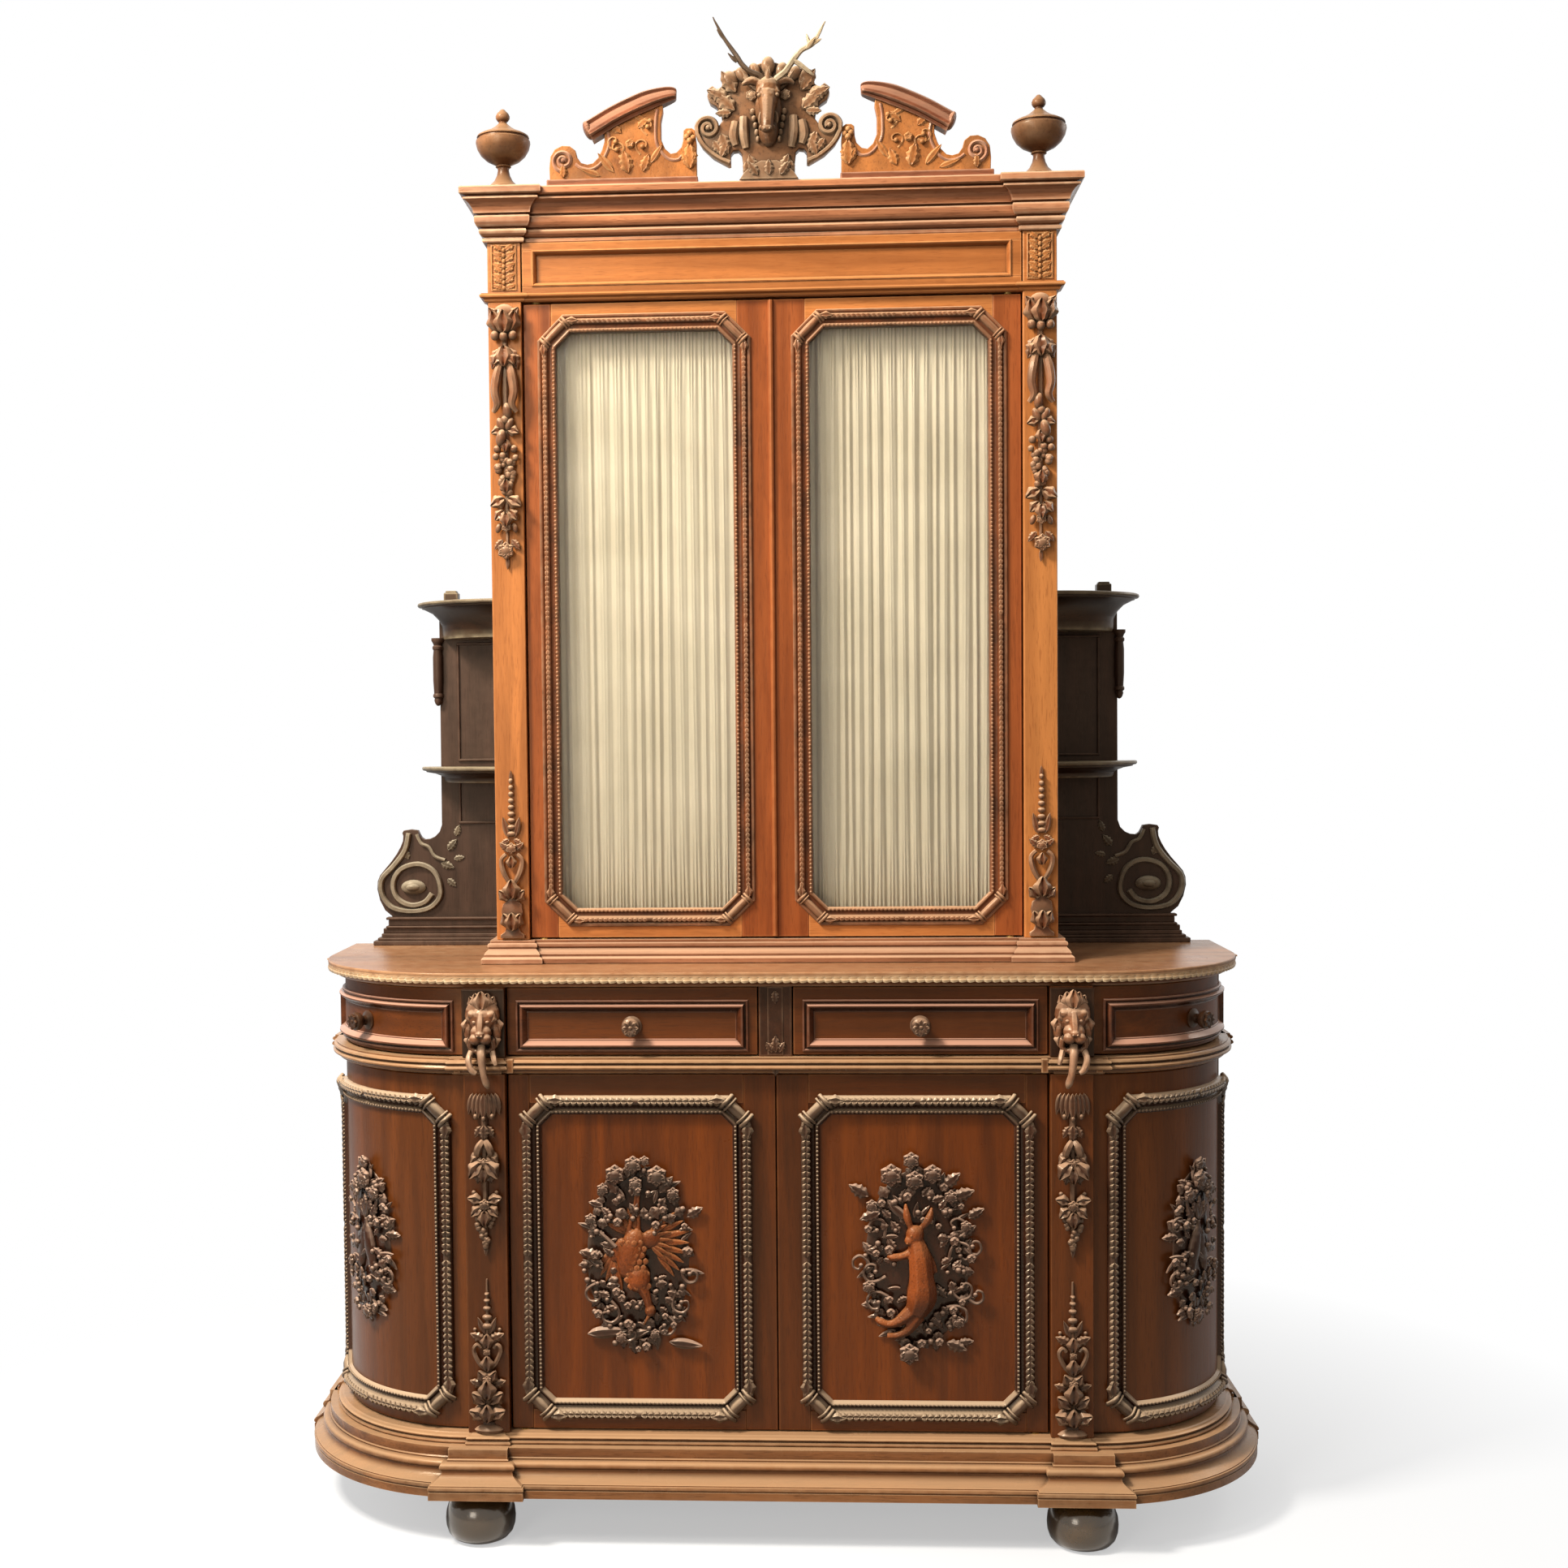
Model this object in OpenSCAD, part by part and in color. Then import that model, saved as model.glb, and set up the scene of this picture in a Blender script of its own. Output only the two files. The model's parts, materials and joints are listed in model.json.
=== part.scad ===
// Two-part buffet: a cupboard base with rounded ends, four drawers and four doors,
// under a glazed upper cupboard with curtains, side niches, a cornice and a carved crest.
// The front faces -Y. The origin is on the floor, under the middle of the overall box.
// Right-hand pieces are modelled, and left-hand pieces are their mirror image.

/* [Plan] */
// Width over the rounded ends, at the door faces
base_w = 1632; // [1560:2:1760]
// Width of the straight front, over the two pilasters
front_w = 1100; // [1060:2:1140]
// Depth over all, from the front plinth blocks to the back
overall_d = 550; // [530:2:640]
// Distance of the door faces behind the front plinth blocks
door_set = 85; // [82:1:100]
// Width of the upper cupboard
upper_w = 1016; // [980:2:1050]
// Distance of the upper door faces behind the lower door faces
upper_set = 131; // [110:1:160]
// Width of a lower pilaster
base_pil_w = 74; // [60:1:90]
// Width of an upper pilaster
upper_pil_w = 60; // [50:1:70]
// How far a lower pilaster stands proud of the doors
base_pil_proud = 18; // [12:1:22]
// How far an upper pilaster stands proud of the doors
upper_pil_proud = 10; // [6:1:16]
// How far the rear stiles stand proud of the rounded ends
stile_proud = 8; // [4:1:12]

/* [Heights] */
// Height of a bun foot
foot_h = 92; // [78:1:120]
// Height of the moulded plinth
plinth_h = 79; // [68:1:110]
// Thickness of the bottom board
bottom_t = 18; // [16:1:24]
// Height of the lower cupboards
cupboard_h = 640; // [560:2:760]
// Thickness of the waist board between cupboards and drawers
waist_h = 29; // [24:1:36]
// Height of the drawer level
drawer_h = 125; // [110:1:150]
// Thickness of the counter top
counter_h = 27; // [22:1:36]
// Height of the moulded foot of the upper cupboard
upper_foot_h = 42; // [36:1:60]
// Height of the glazed door level
glazed_h = 1152; // [1000:2:1250]
// Height of the frieze
frieze_h = 105; // [100:1:130]
// Height of the lower shelf above the bottom board
lower_shelf_rise = 315; // [220:1:400]
// Height of the niche shelf above the counter
niche_shelf_rise = 336; // [280:1:420]
// Height of the niche top above the counter
niche_top_rise = 657; // [600:1:760]

/* [Boards] */
// Thickness of the doors
door_t = 24; // [22:1:28]
// Thickness of the case boards and shelves
board_t = 18; // [14:1:22]
// Thickness of the back panels
back_t = 12; // [8:1:16]
// Thickness of a drawer front
front_t = 20; // [16:1:24]
// Thickness of a drawer side
drawer_side_t = 9; // [7:1:12]
// Thickness of a drawer bottom
drawer_floor_t = 6; // [4:1:8]
// Depth of a lower pilaster from front to back
base_pil_d = 68; // [50:1:80]
// Depth of an upper pilaster from front to back
upper_pil_d = 49; // [40:1:60]
// Half width of the post between the middle drawers
post_half = 29; // [22:1:36]
// Thickness of the glass
glass_t = 3; // [2:0.5:4]

/* [Fits] */
// Gap beside a door or drawer front
side_gap = 2.5; // [2:0.1:3.5]
// Gap above and below a door
end_gap = 3; // [2.6:0.1:4]
// Gap between pieces that seat on a curve or slide past each other
seat_gap = 0.3; // [0.2:0.05:0.4]
// Radius of a door pivot pin
pin_r = 3.5; // [2.5:0.1:4]
// Clearance of a pivot pin in its hole
pin_fit = 0.05; // [0.02:0.01:0.09]
// Length of a pivot pin
pin_l = 14; // [10:1:20]
// Distance of a pivot from the hinged edge
pivot_edge = 22; // [22:1:26]
// Distance of a pivot behind the door face
pivot_in = 8; // [7:0.5:9]

/* [Ornament] */
// Thickness of the carved door mouldings
moulding_t = 11; // [8:1:12]
// Width of the carved door mouldings
moulding_w = 34; // [26:1:40]
// Size of the canted corners of the lower door mouldings
cant = 40; // [24:1:52]
// Width of a middle trophy
trophy_w = 232; // [180:2:260]
// Height of a middle trophy
trophy_h = 375; // [300:2:420]
// Radius of a drawer knob
knob_r = 16; // [12:1:20]
// Folds in one curtain
folds = 21; // [12:1:26]
// Depth of a curtain fold from front to back
fold_d = 9; // [5:1:10]

/* [Hidden] */
$fn = 48;

// Colours of the woods, metal, glass and cloth
walnut = "#8a4a22";
dark_walnut = "#5a2f18";
carved = "#9a5a30";
niche_wood = "#3a2016";
brass = "#a08040";
pale_wood = "#a9743f";
cloth = "#e0d4b4";

// Planes from front to back
front_y = -overall_d / 2;
back_y = overall_d / 2;
door_y = front_y + door_set;
inner_back_y = back_y - back_t;
upper_door_y = door_y + upper_set;
base_pil_y = door_y - base_pil_proud;
upper_pil_y = upper_door_y - upper_pil_proud;
upper_side_y = upper_pil_y + upper_pil_d;

// Rounded ends: radius of the door faces and the centre of the right-hand arc
end_r = (base_w - front_w) / 2;
arc_x = front_w / 2;
arc_y = door_y + end_r;

// Levels from the floor up
plinth_z = foot_h;
bottom_z = plinth_z + plinth_h;
cupboard_z = bottom_z + bottom_t;
waist_z = cupboard_z + cupboard_h;
drawer_z = waist_z + waist_h;
counter_z = drawer_z + drawer_h;
counter_top_z = counter_z + counter_h;
glazed_z = counter_top_z + upper_foot_h;
frieze_z = glazed_z + glazed_h;
cornice_z = frieze_z + frieze_h;

// Pilasters and partitions, right-hand side
base_pil_x = front_w / 2 - base_pil_w;
base_pil_mid = front_w / 2 - base_pil_w / 2;
upper_pil_x = upper_w / 2 - upper_pil_w;
upper_pil_mid = upper_w / 2 - upper_pil_w / 2;
partition_x = base_pil_mid - board_t / 2 + 1;
stile_in_x = base_w / 2 - board_t;
stile_y = arc_y + side_gap;
door_free_angle = side_gap / end_r * 180 / PI;

// Steps of the mouldings from the bottom up, each a height and a projection past the doors
plinth_steps = [[24, 72], [9, 62], [25, 53]];
plinth_top_step = 41;
bottom_step = 26;
waist_steps = [[8, 12], [14, 24]];
waist_top_step = 18;
counter_steps = [[20, 30]];
counter_top_step = 32;
upper_foot_steps = [[14, 25], [14, 18]];
upper_foot_top_step = 11;
cornice_steps = [[14, 6], [9, 11], [10, 15], [17, 19], [7, 23], [12, 30], [12, 38], [11, 43]];
cornice_h = 92;
cornice_break = 12;
cornice_cavity = 18;
// Blocks of the plinth under the pilasters: width past the pilaster, height, projection
block_low = [31, 33, 85];
block_high = [10, 58, 66];
waist_block = [5, 30];
plinth_wall = 40;

// Bun feet
foot_r = 62;
foot_y = front_y + foot_r + 11;
foot_neck_h = 8;
foot_ball_h = foot_h - foot_neck_h;
foot_neck_r = 38;
foot_sole_r = 40;

// Drawers
drawer_rise = 3;
drawer_box_h = 96;
drawer_box_back = 50;
drawer_frame_w = 12;
drawer_frame_proud = 6;
drawer_frame_in = 16;
drawer_guide_h = 15;
drawer_guide_w = 10;
knob_stem_r = 7;
knob_stem_l = 12;
end_box_half = 100;
end_box_back = 66;
end_frame_in = 4;

// Doors
base_door_x = base_pil_x - side_gap;
meet_gap = 1;
base_door_pivot = [base_door_x - pivot_edge, door_y + pivot_in];
end_door_pivot = [arc_x + end_r - pivot_in - 1, arc_y - pivot_edge];
upper_door_x = upper_pil_x - side_gap;
upper_door_pivot = [upper_door_x - pivot_edge, upper_door_y + pivot_in];
pin_plate_r = 8;
pin_plate_t = 2;
base_mould_in = 24;
base_mould_rise = 20;
panel_lap = 14;
panel_t = 12;
panel_set = 4;
end_door_inner_r = end_r - door_t;
end_mould_in = 26;
upper_mould_side = 32;
upper_mould_meet = 42;
upper_mould_rise = 27;
upper_mould_w = 26;
upper_mould_t = 8;
upper_cant = 42;
corner_cut = 120;
glazing_lap = 8;
rebate = 6;
rebate_y = upper_door_y + 12;
clasp = 16;
leaf_proud = 9;
blossom_proud = 17;
leaf_spread = 50;

// Glazing sight opening of the right-hand upper door
sight_x0 = meet_gap + upper_mould_meet + upper_mould_w - glazing_lap;
sight_x1 = upper_door_x - upper_mould_side - upper_mould_w + glazing_lap;
sight_z0 = glazed_z + end_gap + upper_mould_rise + upper_mould_w - glazing_lap;
sight_z1 = frieze_z - end_gap - upper_mould_rise - upper_mould_w + glazing_lap;
rod_r = 3.5;
rod_y = upper_door_y + door_t + 12;
rod_lap = 8;
rod_z0 = sight_z0 - 1 - rod_r;
rod_z1 = sight_z1 + 1 + rod_r;
curtain_t = 1.6;

// Niches beside the upper cupboard
niche_w = 166;
niche_shelf_w = 200;
niche_shelf_d = 165;
niche_top_t = 19;
niche_foot_w = 290;
niche_foot_h = 32;
niche_board_t = 18;
niche_trim_t = 8;
niche_face_y = back_y - niche_board_t - niche_trim_t;

// Crest
crest_y = upper_pil_y - 26;
crest_t = 26;
urn_x = upper_pil_mid;
urn_y = upper_pil_y + 12;
crest_z = cornice_z + cornice_h;

// Sum of the first n heights in a list of steps
function rise(steps, n) = n == 0 ? 0 : steps[n - 1][0] + rise(steps, n - 1);

module block(x0, x1, y0, y1, z0, z1) {
    translate([x0, y0, z0]) cube([x1 - x0, y1 - y0, z1 - z0]);
}

// Draws its children and their mirror image
module both() {
    children();
    mirror([1, 0, 0]) children();
}

module left_hand() {
    mirror([1, 0, 0]) children();
}

// Plan of the base, grown by grow at the front and the ends
module base_plan(grow, back) {
    r = end_r + grow;
    translate([-arc_x, door_y - grow]) square([2 * arc_x, back - door_y + grow]);
    for (s = [0, 1]) mirror([s, 0]) translate([arc_x, arc_y]) {
        intersection() {
            circle(r = r);
            translate([-0.01, -r]) square([r + 0.01, r + 0.01]);
        }
        translate([-0.01, 0]) square([r + 0.01, back - arc_y]);
    }
}

// The base plan with its break over the rear stiles
module broken_plan(grow, back) {
    base_plan(grow, back);
    side = base_w / 2 + stile_proud + grow;
    translate([-side, stile_y - grow / 4]) square([2 * side, back - stile_y + grow / 4]);
}

// A stack of base plans that follows a list of steps, topped up to height h
module base_moulding(z, steps, top_step, h, back) {
    for (i = [0 : len(steps) - 1])
        translate([0, 0, z + rise(steps, i)]) linear_extrude(steps[i][0]) broken_plan(steps[i][1], back);
    done = rise(steps, len(steps));
    translate([0, 0, z + done]) linear_extrude(h - done) broken_plan(top_step, back);
}

// A wall on the right-hand arc, between two radii, two angles from the front and two heights
module arc_wall(r0, r1, a0, a1, z0, z1) {
    translate([arc_x, arc_y, z0]) rotate([0, 0, a0 - 90])
        rotate_extrude(angle = a1 - a0, $fn = 96) translate([r0, 0]) square([r1 - r0, z1 - z0]);
}

// An upright rectangle with canted corners, facing the front
module canted_plate(x0, x1, z0, z1, c, y0, y1) {
    translate([0, y1, 0]) rotate([90, 0, 0]) linear_extrude(y1 - y0) polygon([
        [x0 + c, z0], [x1 - c, z0], [x1, z0 + c], [x1, z1 - c],
        [x1 - c, z1], [x0 + c, z1], [x0, z1 - c], [x0, z0 + c]
    ]);
}

// A ring of moulding with canted corners, seated on the plane y
module canted_ring(x0, x1, z0, z1, c, w, y, t) {
    difference() {
        canted_plate(x0, x1, z0, z1, c, y - t, y);
        canted_plate(x0 + w, x1 - w, z0 + w, z1 - w, c - w * 0.4, y - t - 1, y + 1);
    }
}

// A domed boss on the plane y, r wide and h high
module boss(x, y, z, r, h) {
    translate([x, y, z]) rotate([90, 0, 0]) rotate_extrude($fn = 20)
        polygon([[0, 0], [r, 0], [r * 0.82, h * 0.62], [r * 0.45, h * 0.92], [0, h]]);
}

module bun_foot(x, y) {
    translate([x, y, 0]) rotate_extrude() polygon(concat(
        [[0, 0], [foot_sole_r, 0]],
        [for (a = [-60 : 15 : 60]) [foot_r * (0.45 + 0.55 * cos(a)), foot_ball_h / 2 * (1 + sin(a) * 1.1)]],
        [[foot_neck_r, foot_ball_h], [foot_neck_r, foot_h], [0, foot_h]]
    ));
}

module bun_feet() color(dark_walnut) both() {
    bun_foot(base_pil_mid + 18, foot_y);
    bun_foot(base_pil_mid + 18, back_y - foot_r - 11);
}

module plinth() color(walnut) difference() {
    union() {
        base_moulding(plinth_z, plinth_steps, plinth_top_step, plinth_h, back_y);
        both() {
            block(base_pil_x - block_low[0], front_w / 2 + 2 * block_low[0],
                door_y - block_low[2], door_y, plinth_z, plinth_z + block_low[1]);
            block(base_pil_x - block_high[0], front_w / 2 + 2.6 * block_high[0],
                door_y - block_high[2], door_y, plinth_z, plinth_z + block_high[1]);
        }
    }
    translate([0, 0, plinth_z - 1]) linear_extrude(plinth_h + 2) base_plan(-plinth_wall, back_y - plinth_wall);
}

module base_bottom_board() color(walnut) translate([0, 0, bottom_z]) {
    linear_extrude(bottom_t) {
        broken_plan(bottom_step, back_y);
        for (s = [0, 1]) mirror([s, 0]) translate([base_pil_x - 4, door_y - bottom_step - 8])
            square([base_pil_w + 8, 20]);
    }
}

module base_back_panel() color(dark_walnut) {
    side = base_w / 2 + stile_proud;
    block(-side, side, inner_back_y, back_y, cupboard_z, counter_z);
}

// Partitions behind the pilasters and stiles at the back of the rounded ends
module base_case_sides() color(dark_walnut) both() for (level = [[cupboard_z, waist_z], [drawer_z, counter_z]]) {
    block(partition_x, partition_x + board_t, base_pil_y + base_pil_d, inner_back_y, level[0], level[1]);
    block(stile_in_x, base_w / 2 + stile_proud, stile_y, inner_back_y, level[0], level[1]);
}

module base_pilasters() color(walnut) both() for (level = [[cupboard_z, waist_z], [drawer_z, counter_z]])
    block(base_pil_x, front_w / 2, base_pil_y, base_pil_y + base_pil_d, level[0], level[1]);

module waist_moulding() color(walnut) {
    base_moulding(waist_z, waist_steps, waist_top_step, waist_h, inner_back_y);
    both() block(base_pil_x - waist_block[0], front_w / 2 + waist_block[0], door_y - waist_block[1], door_y,
        waist_z + waist_steps[0][0], waist_z + waist_steps[0][0] + waist_steps[1][0]);
}

// Middle post, the partition behind it, and the strips that guide the drawers
module drawer_dividers() color(pale_wood) {
    post_back = door_y + front_t + 2;
    union() {
        block(-post_half, post_half, door_y, post_back, drawer_z, counter_z);
        block(-board_t / 2, board_t / 2, post_back, inner_back_y, drawer_z, counter_z);
        block(-drawer_box_x0 + seat_gap, drawer_box_x0 - seat_gap, post_back, inner_back_y,
            drawer_z, drawer_z + drawer_guide_h);
    }
    both() block(drawer_box_x1 + seat_gap, drawer_box_x1 + drawer_guide_w,
        base_pil_y + base_pil_d, inner_back_y, drawer_z, drawer_z + drawer_guide_h);
}

module counter_top() color(walnut) translate([0, 0, counter_z]) {
    linear_extrude(counter_steps[0][0]) base_plan(counter_steps[0][1], back_y);
    translate([0, 0, counter_steps[0][0]])
        linear_extrude(counter_h - counter_steps[0][0]) base_plan(counter_top_step, back_y);
}

// One shelf in the middle cupboard, one in each end and three behind the glass
module shelves() color(pale_wood) {
    z = cupboard_z + lower_shelf_rise;
    shelf_front = base_pil_y + base_pil_d;
    sweep_r = end_door_inner_r - 17;
    block(-partition_x, partition_x, shelf_front, inner_back_y, z, z + board_t);
    both() translate([0, 0, z]) linear_extrude(board_t) {
        translate([arc_x, arc_y]) intersection() {
            circle(r = sweep_r);
            translate([-0.01, -sweep_r]) square([sweep_r, sweep_r + 0.01]);
        }
        translate([partition_x + board_t, shelf_front]) square([arc_x - partition_x - board_t, arc_y - shelf_front]);
        translate([partition_x + board_t, arc_y])
            square([arc_x + sweep_r - partition_x - board_t, inner_back_y - arc_y]);
        translate([arc_x, stile_y + 12]) square([stile_in_x - arc_x, inner_back_y - stile_y - 12]);
    }
    inner = upper_w / 2 - board_t;
    for (i = [1 : 3]) let (zs = glazed_z + board_t + (glazed_h - board_t) * i / 4)
        block(-inner, inner, upper_side_y + board_t, inner_back_y, zs - board_t / 2, zs + board_t / 2);
}

// Animal mask with a muzzle, ears and a hanging tongue, in front of each lower pilaster
module animal_masks() color(carved) both() difference() {
    union() {
        mz = waist_z + 78;
        translate([base_pil_mid, base_pil_y, mz + 12]) sphere(r = 30);
        translate([base_pil_mid, base_pil_y - 22, mz - 14]) sphere(r = 17);
        for (s = [-1, 1]) translate([base_pil_mid + s * 20, base_pil_y - 6, mz + 34]) sphere(r = 12);
        block(base_pil_mid - 11, base_pil_mid + 11, base_pil_y - 34, base_pil_y, waist_z - 26, mz - 12);
        translate([base_pil_mid, base_pil_y, mz + 10]) rotate([90, 0, 0]) linear_extrude(14) leaf_shape(118, 66, 0);
    }
    block(base_pil_x - 30, front_w / 2 + 30, base_pil_y, base_pil_y + 100, cupboard_z, counter_z);
    block(base_pil_x - 30, front_w / 2 + 30, door_y - waist_block[1] - seat_gap, door_y,
        waist_z - seat_gap, drawer_z + seat_gap);
}

// Outline of a leaf with its stem at the origin and its tip at angle a from straight down
module leaf_shape(l, w, a) {
    rotate([0, 0, a]) polygon([
        [-w * 0.12, 0], [-w * 0.5, -l * 0.38], [-w * 0.3, -l * 0.75], [0, -l],
        [w * 0.3, -l * 0.75], [w * 0.5, -l * 0.38], [w * 0.12, 0]
    ]);
}

// Carved drop on the plane y: leaves and blossoms on a stem, from the top down
module drop(x, y, top, length, w) {
    n = floor(length / 48);
    pitch = (length - w) / (n - 1);
    translate([x, y, top]) rotate([90, 0, 0]) {
        linear_extrude(leaf_proud) {
            translate([-w * 0.1, w * 0.6 - length]) square([w * 0.2, length - w]);
            for (i = [0 : n - 1], a = [-leaf_spread, 0, leaf_spread]) translate([0, -w * 0.12 - i * pitch])
                leaf_shape(w * 0.5, w * 0.34, a);
        }
        linear_extrude(blossom_proud) for (i = [0 : n - 1]) translate([0, -w * 0.42 - i * pitch])
            circle(r = w * (0.3 - 0.06 * i / n), $fn = 20);
    }
}

// Carved candelabra on the plane y: a leafy foot, tiers of leaves and a tapering spire
module candelabra(x, y, foot, length, w) {
    translate([x, y, foot]) rotate([90, 0, 0]) {
        linear_extrude(leaf_proud) {
            translate([-w * 0.07, w * 0.2]) square([w * 0.14, length - w * 0.4]);
            for (share = [0.13, 0.27, 0.45]) translate([0, length * share]) {
                for (a = [180 - leaf_spread, 180 + leaf_spread]) leaf_shape(w * 0.52, w * 0.34, a);
                leaf_shape(w * 0.7, w * 0.3, 180);
            }
        }
        linear_extrude(blossom_proud) {
            for (share = [0.08, 0.24, 0.42]) translate([0, length * share]) circle(r = w * 0.26, $fn = 20);
            for (i = [0 : 3]) translate([0, length * (0.58 + 0.11 * i)])
                circle(r = w * (0.2 - 0.035 * i), $fn = 20);
        }
    }
}

module base_pilaster_carvings() color(carved) both() {
    drop(base_pil_mid, base_pil_y, waist_z - 32, 286, 62);
    candelabra(base_pil_mid, base_pil_y, cupboard_z + 2, 280, 62);
}

// A pivot pin on its plate, standing on z, or hanging from it
module pivot_pin(at, z, up) {
    translate([at[0], at[1], z]) mirror([0, 0, up ? 0 : 1]) {
        cylinder(r = pin_plate_r, h = pin_plate_t);
        cylinder(r = pin_r, h = end_gap + pin_l - 1);
    }
}

module door_pivot_pins() color(brass) both() {
    for (at = [base_door_pivot, end_door_pivot]) {
        pivot_pin(at, cupboard_z, true);
        pivot_pin(at, waist_z, false);
    }
    pivot_pin(upper_door_pivot, glazed_z, true);
    pivot_pin(upper_door_pivot, frieze_z, false);
}

// Holes for the two pins of a door that stands between z0 and z1
module pivot_holes(at, z0, z1) {
    for (z = [z0 - 1, z1 - pin_l]) translate([at[0], at[1], z]) cylinder(r = pin_r + pin_fit, h = pin_l + 1);
}

drawer_x0 = post_half + side_gap;
drawer_x1 = base_pil_x - side_gap;
drawer_box_x0 = drawer_x0 + 14;
drawer_box_x1 = drawer_x1 - 14;
drawer_front_z0 = drawer_z + drawer_rise;
drawer_front_z1 = counter_z - drawer_rise;
drawer_mid_z = (drawer_front_z0 + drawer_front_z1) / 2 - 8;

module drawer_front_right() color(walnut) {
    block(drawer_x0, drawer_x1, door_y, door_y + front_t, drawer_front_z0, drawer_front_z1);
    difference() {
        block(drawer_x0 + drawer_frame_in, drawer_x1 - drawer_frame_in, door_y - drawer_frame_proud,
            door_y, drawer_mid_z - 44, drawer_mid_z + 44);
        block(drawer_x0 + drawer_frame_in + drawer_frame_w, drawer_x1 - drawer_frame_in - drawer_frame_w,
            door_y - drawer_frame_proud - 1, door_y + 1, drawer_mid_z - 32, drawer_mid_z + 32);
    }
}

module drawer_box_right() color(pale_wood) difference() {
    z0 = drawer_z + seat_gap;
    y1 = inner_back_y - drawer_box_back;
    block(drawer_box_x0, drawer_box_x1, door_y + front_t, y1, z0, z0 + drawer_box_h);
    block(drawer_box_x0 + drawer_side_t, drawer_box_x1 - drawer_side_t, door_y + front_t - 1,
        y1 - drawer_side_t, z0 + drawer_floor_t, z0 + drawer_box_h + 1);
}

// A turned knob whose back is on the local plane z = 0
module knob() {
    cylinder(r = knob_stem_r, h = knob_stem_l);
    cylinder(r = knob_r * 0.75, h = 3);
    translate([0, 0, knob_stem_l + knob_r * 0.6]) sphere(r = knob_r);
}

module drawer_knob_right() color(carved)
    translate([(drawer_x0 + drawer_x1) / 2, door_y, drawer_mid_z]) rotate([90, 0, 0]) difference() {
        knob();
        translate([0, 0, -50]) cube(100, center = true);
    }

module end_drawer_front_right() color(walnut) {
    arc_wall(end_r - front_t, end_r, door_free_angle, 90, drawer_front_z0, drawer_front_z1);
    difference() {
        arc_wall(end_r - 1, end_r + drawer_frame_proud, end_frame_in, 90 - end_frame_in,
            drawer_mid_z - 44, drawer_mid_z + 44);
        arc_wall(end_r - 2, end_r + drawer_frame_proud + 1, end_frame_in + 2.6, 90 - end_frame_in - 2.6,
            drawer_mid_z - 32, drawer_mid_z + 32);
    }
}

// The box of a rounded drawer lies across the corner, along the diagonal that it slides on
module end_drawer_box_right() color(pale_wood) {
    z0 = drawer_z + seat_gap;
    translate([arc_x, arc_y, z0]) rotate([0, 0, -45]) difference() {
        intersection() {
            translate([end_box_back, -end_box_half, 0]) cube([end_r, 2 * end_box_half, drawer_box_h]);
            cylinder(r = end_r - front_t - seat_gap, h = drawer_box_h, $fn = 96);
        }
        translate([end_box_back + drawer_side_t, drawer_side_t - end_box_half, drawer_floor_t])
            cube([end_r, 2 * (end_box_half - drawer_side_t), drawer_box_h]);
    }
}

module end_drawer_knob_right() color(carved)
    translate([arc_x, arc_y, drawer_mid_z]) rotate([0, 0, -45]) translate([end_r + seat_gap, 0, 0])
        rotate([0, 90, 0]) difference() {
            knob();
            translate([0, 0, -50]) cube(100, center = true);
        }

door_z0 = cupboard_z + end_gap;
door_z1 = waist_z - end_gap;
mould_x0 = meet_gap + 42;
mould_x1 = base_door_x - base_mould_in;
mould_z0 = door_z0 + base_mould_rise;
mould_z1 = door_z1 - base_mould_rise - 17;

// A framed door with its panel in the frame
module base_door_right() color(walnut) {
    px0 = mould_x0 + panel_lap;
    px1 = mould_x1 - panel_lap;
    pz0 = mould_z0 + panel_lap;
    pz1 = mould_z1 - panel_lap;
    difference() {
        block(meet_gap, base_door_x, door_y, door_y + door_t, door_z0, door_z1);
        block(px0, px1, door_y - 1, door_y + door_t + 1, pz0, pz1);
        pivot_holes(base_door_pivot, door_z0, door_z1);
    }
    block(px0 + seat_gap, px1 - seat_gap, door_y + panel_set, door_y + panel_set + panel_t,
        pz0 + seat_gap, pz1 - seat_gap);
}

module base_door_moulding_right() color(carved) {
    canted_ring(mould_x0, mould_x1, mould_z0, mould_z1, cant, moulding_w, door_y, moulding_t);
    for (x = [mould_x0 + clasp, mould_x1 - clasp], z = [mould_z0 + clasp, mould_z1 - clasp])
        boss(x, door_y, z, clasp, moulding_t + 4);
}

// Oval garland of a trophy: a thin ground with flowers round its rim
module garland(w, h) {
    petals = 16;
    linear_extrude(7) polygon([
        for (a = [0 : 15 : 345]) [(w / 2 - 14) * sin(a), (h / 2 - 14) * cos(a)]
    ]);
    linear_extrude(17) for (i = [0 : petals - 1]) let (a = 360 * i / petals)
        translate([(w / 2 - 24) * sin(a), (h / 2 - 24) * cos(a)]) circle(r = 21 + 3 * sin(3 * a), $fn = 20);
}

// Where the middle of a lower door's moulding lies, on the panel
module on_panel() {
    translate([(mould_x0 + mould_x1) / 2, door_y + panel_set, (mould_z0 + mould_z1) / 2])
        rotate([90, 0, 0]) children();
}

// Hanging hare in its garland
module base_door_trophy_right() color(carved) on_panel() {
    garland(trophy_w, trophy_h);
    linear_extrude(22) {
        translate([8, 62]) circle(r = 22);
        translate([-5, -40]) for (a = [-60, -25, 25]) leaf_shape(100, 28, a);
        translate([0, 52]) leaf_shape(80, 26, -70);
    }
    linear_extrude(29) {
        translate([8, 24]) circle(r = 28);
        translate([0, -34]) circle(r = 34);
    }
}

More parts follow.
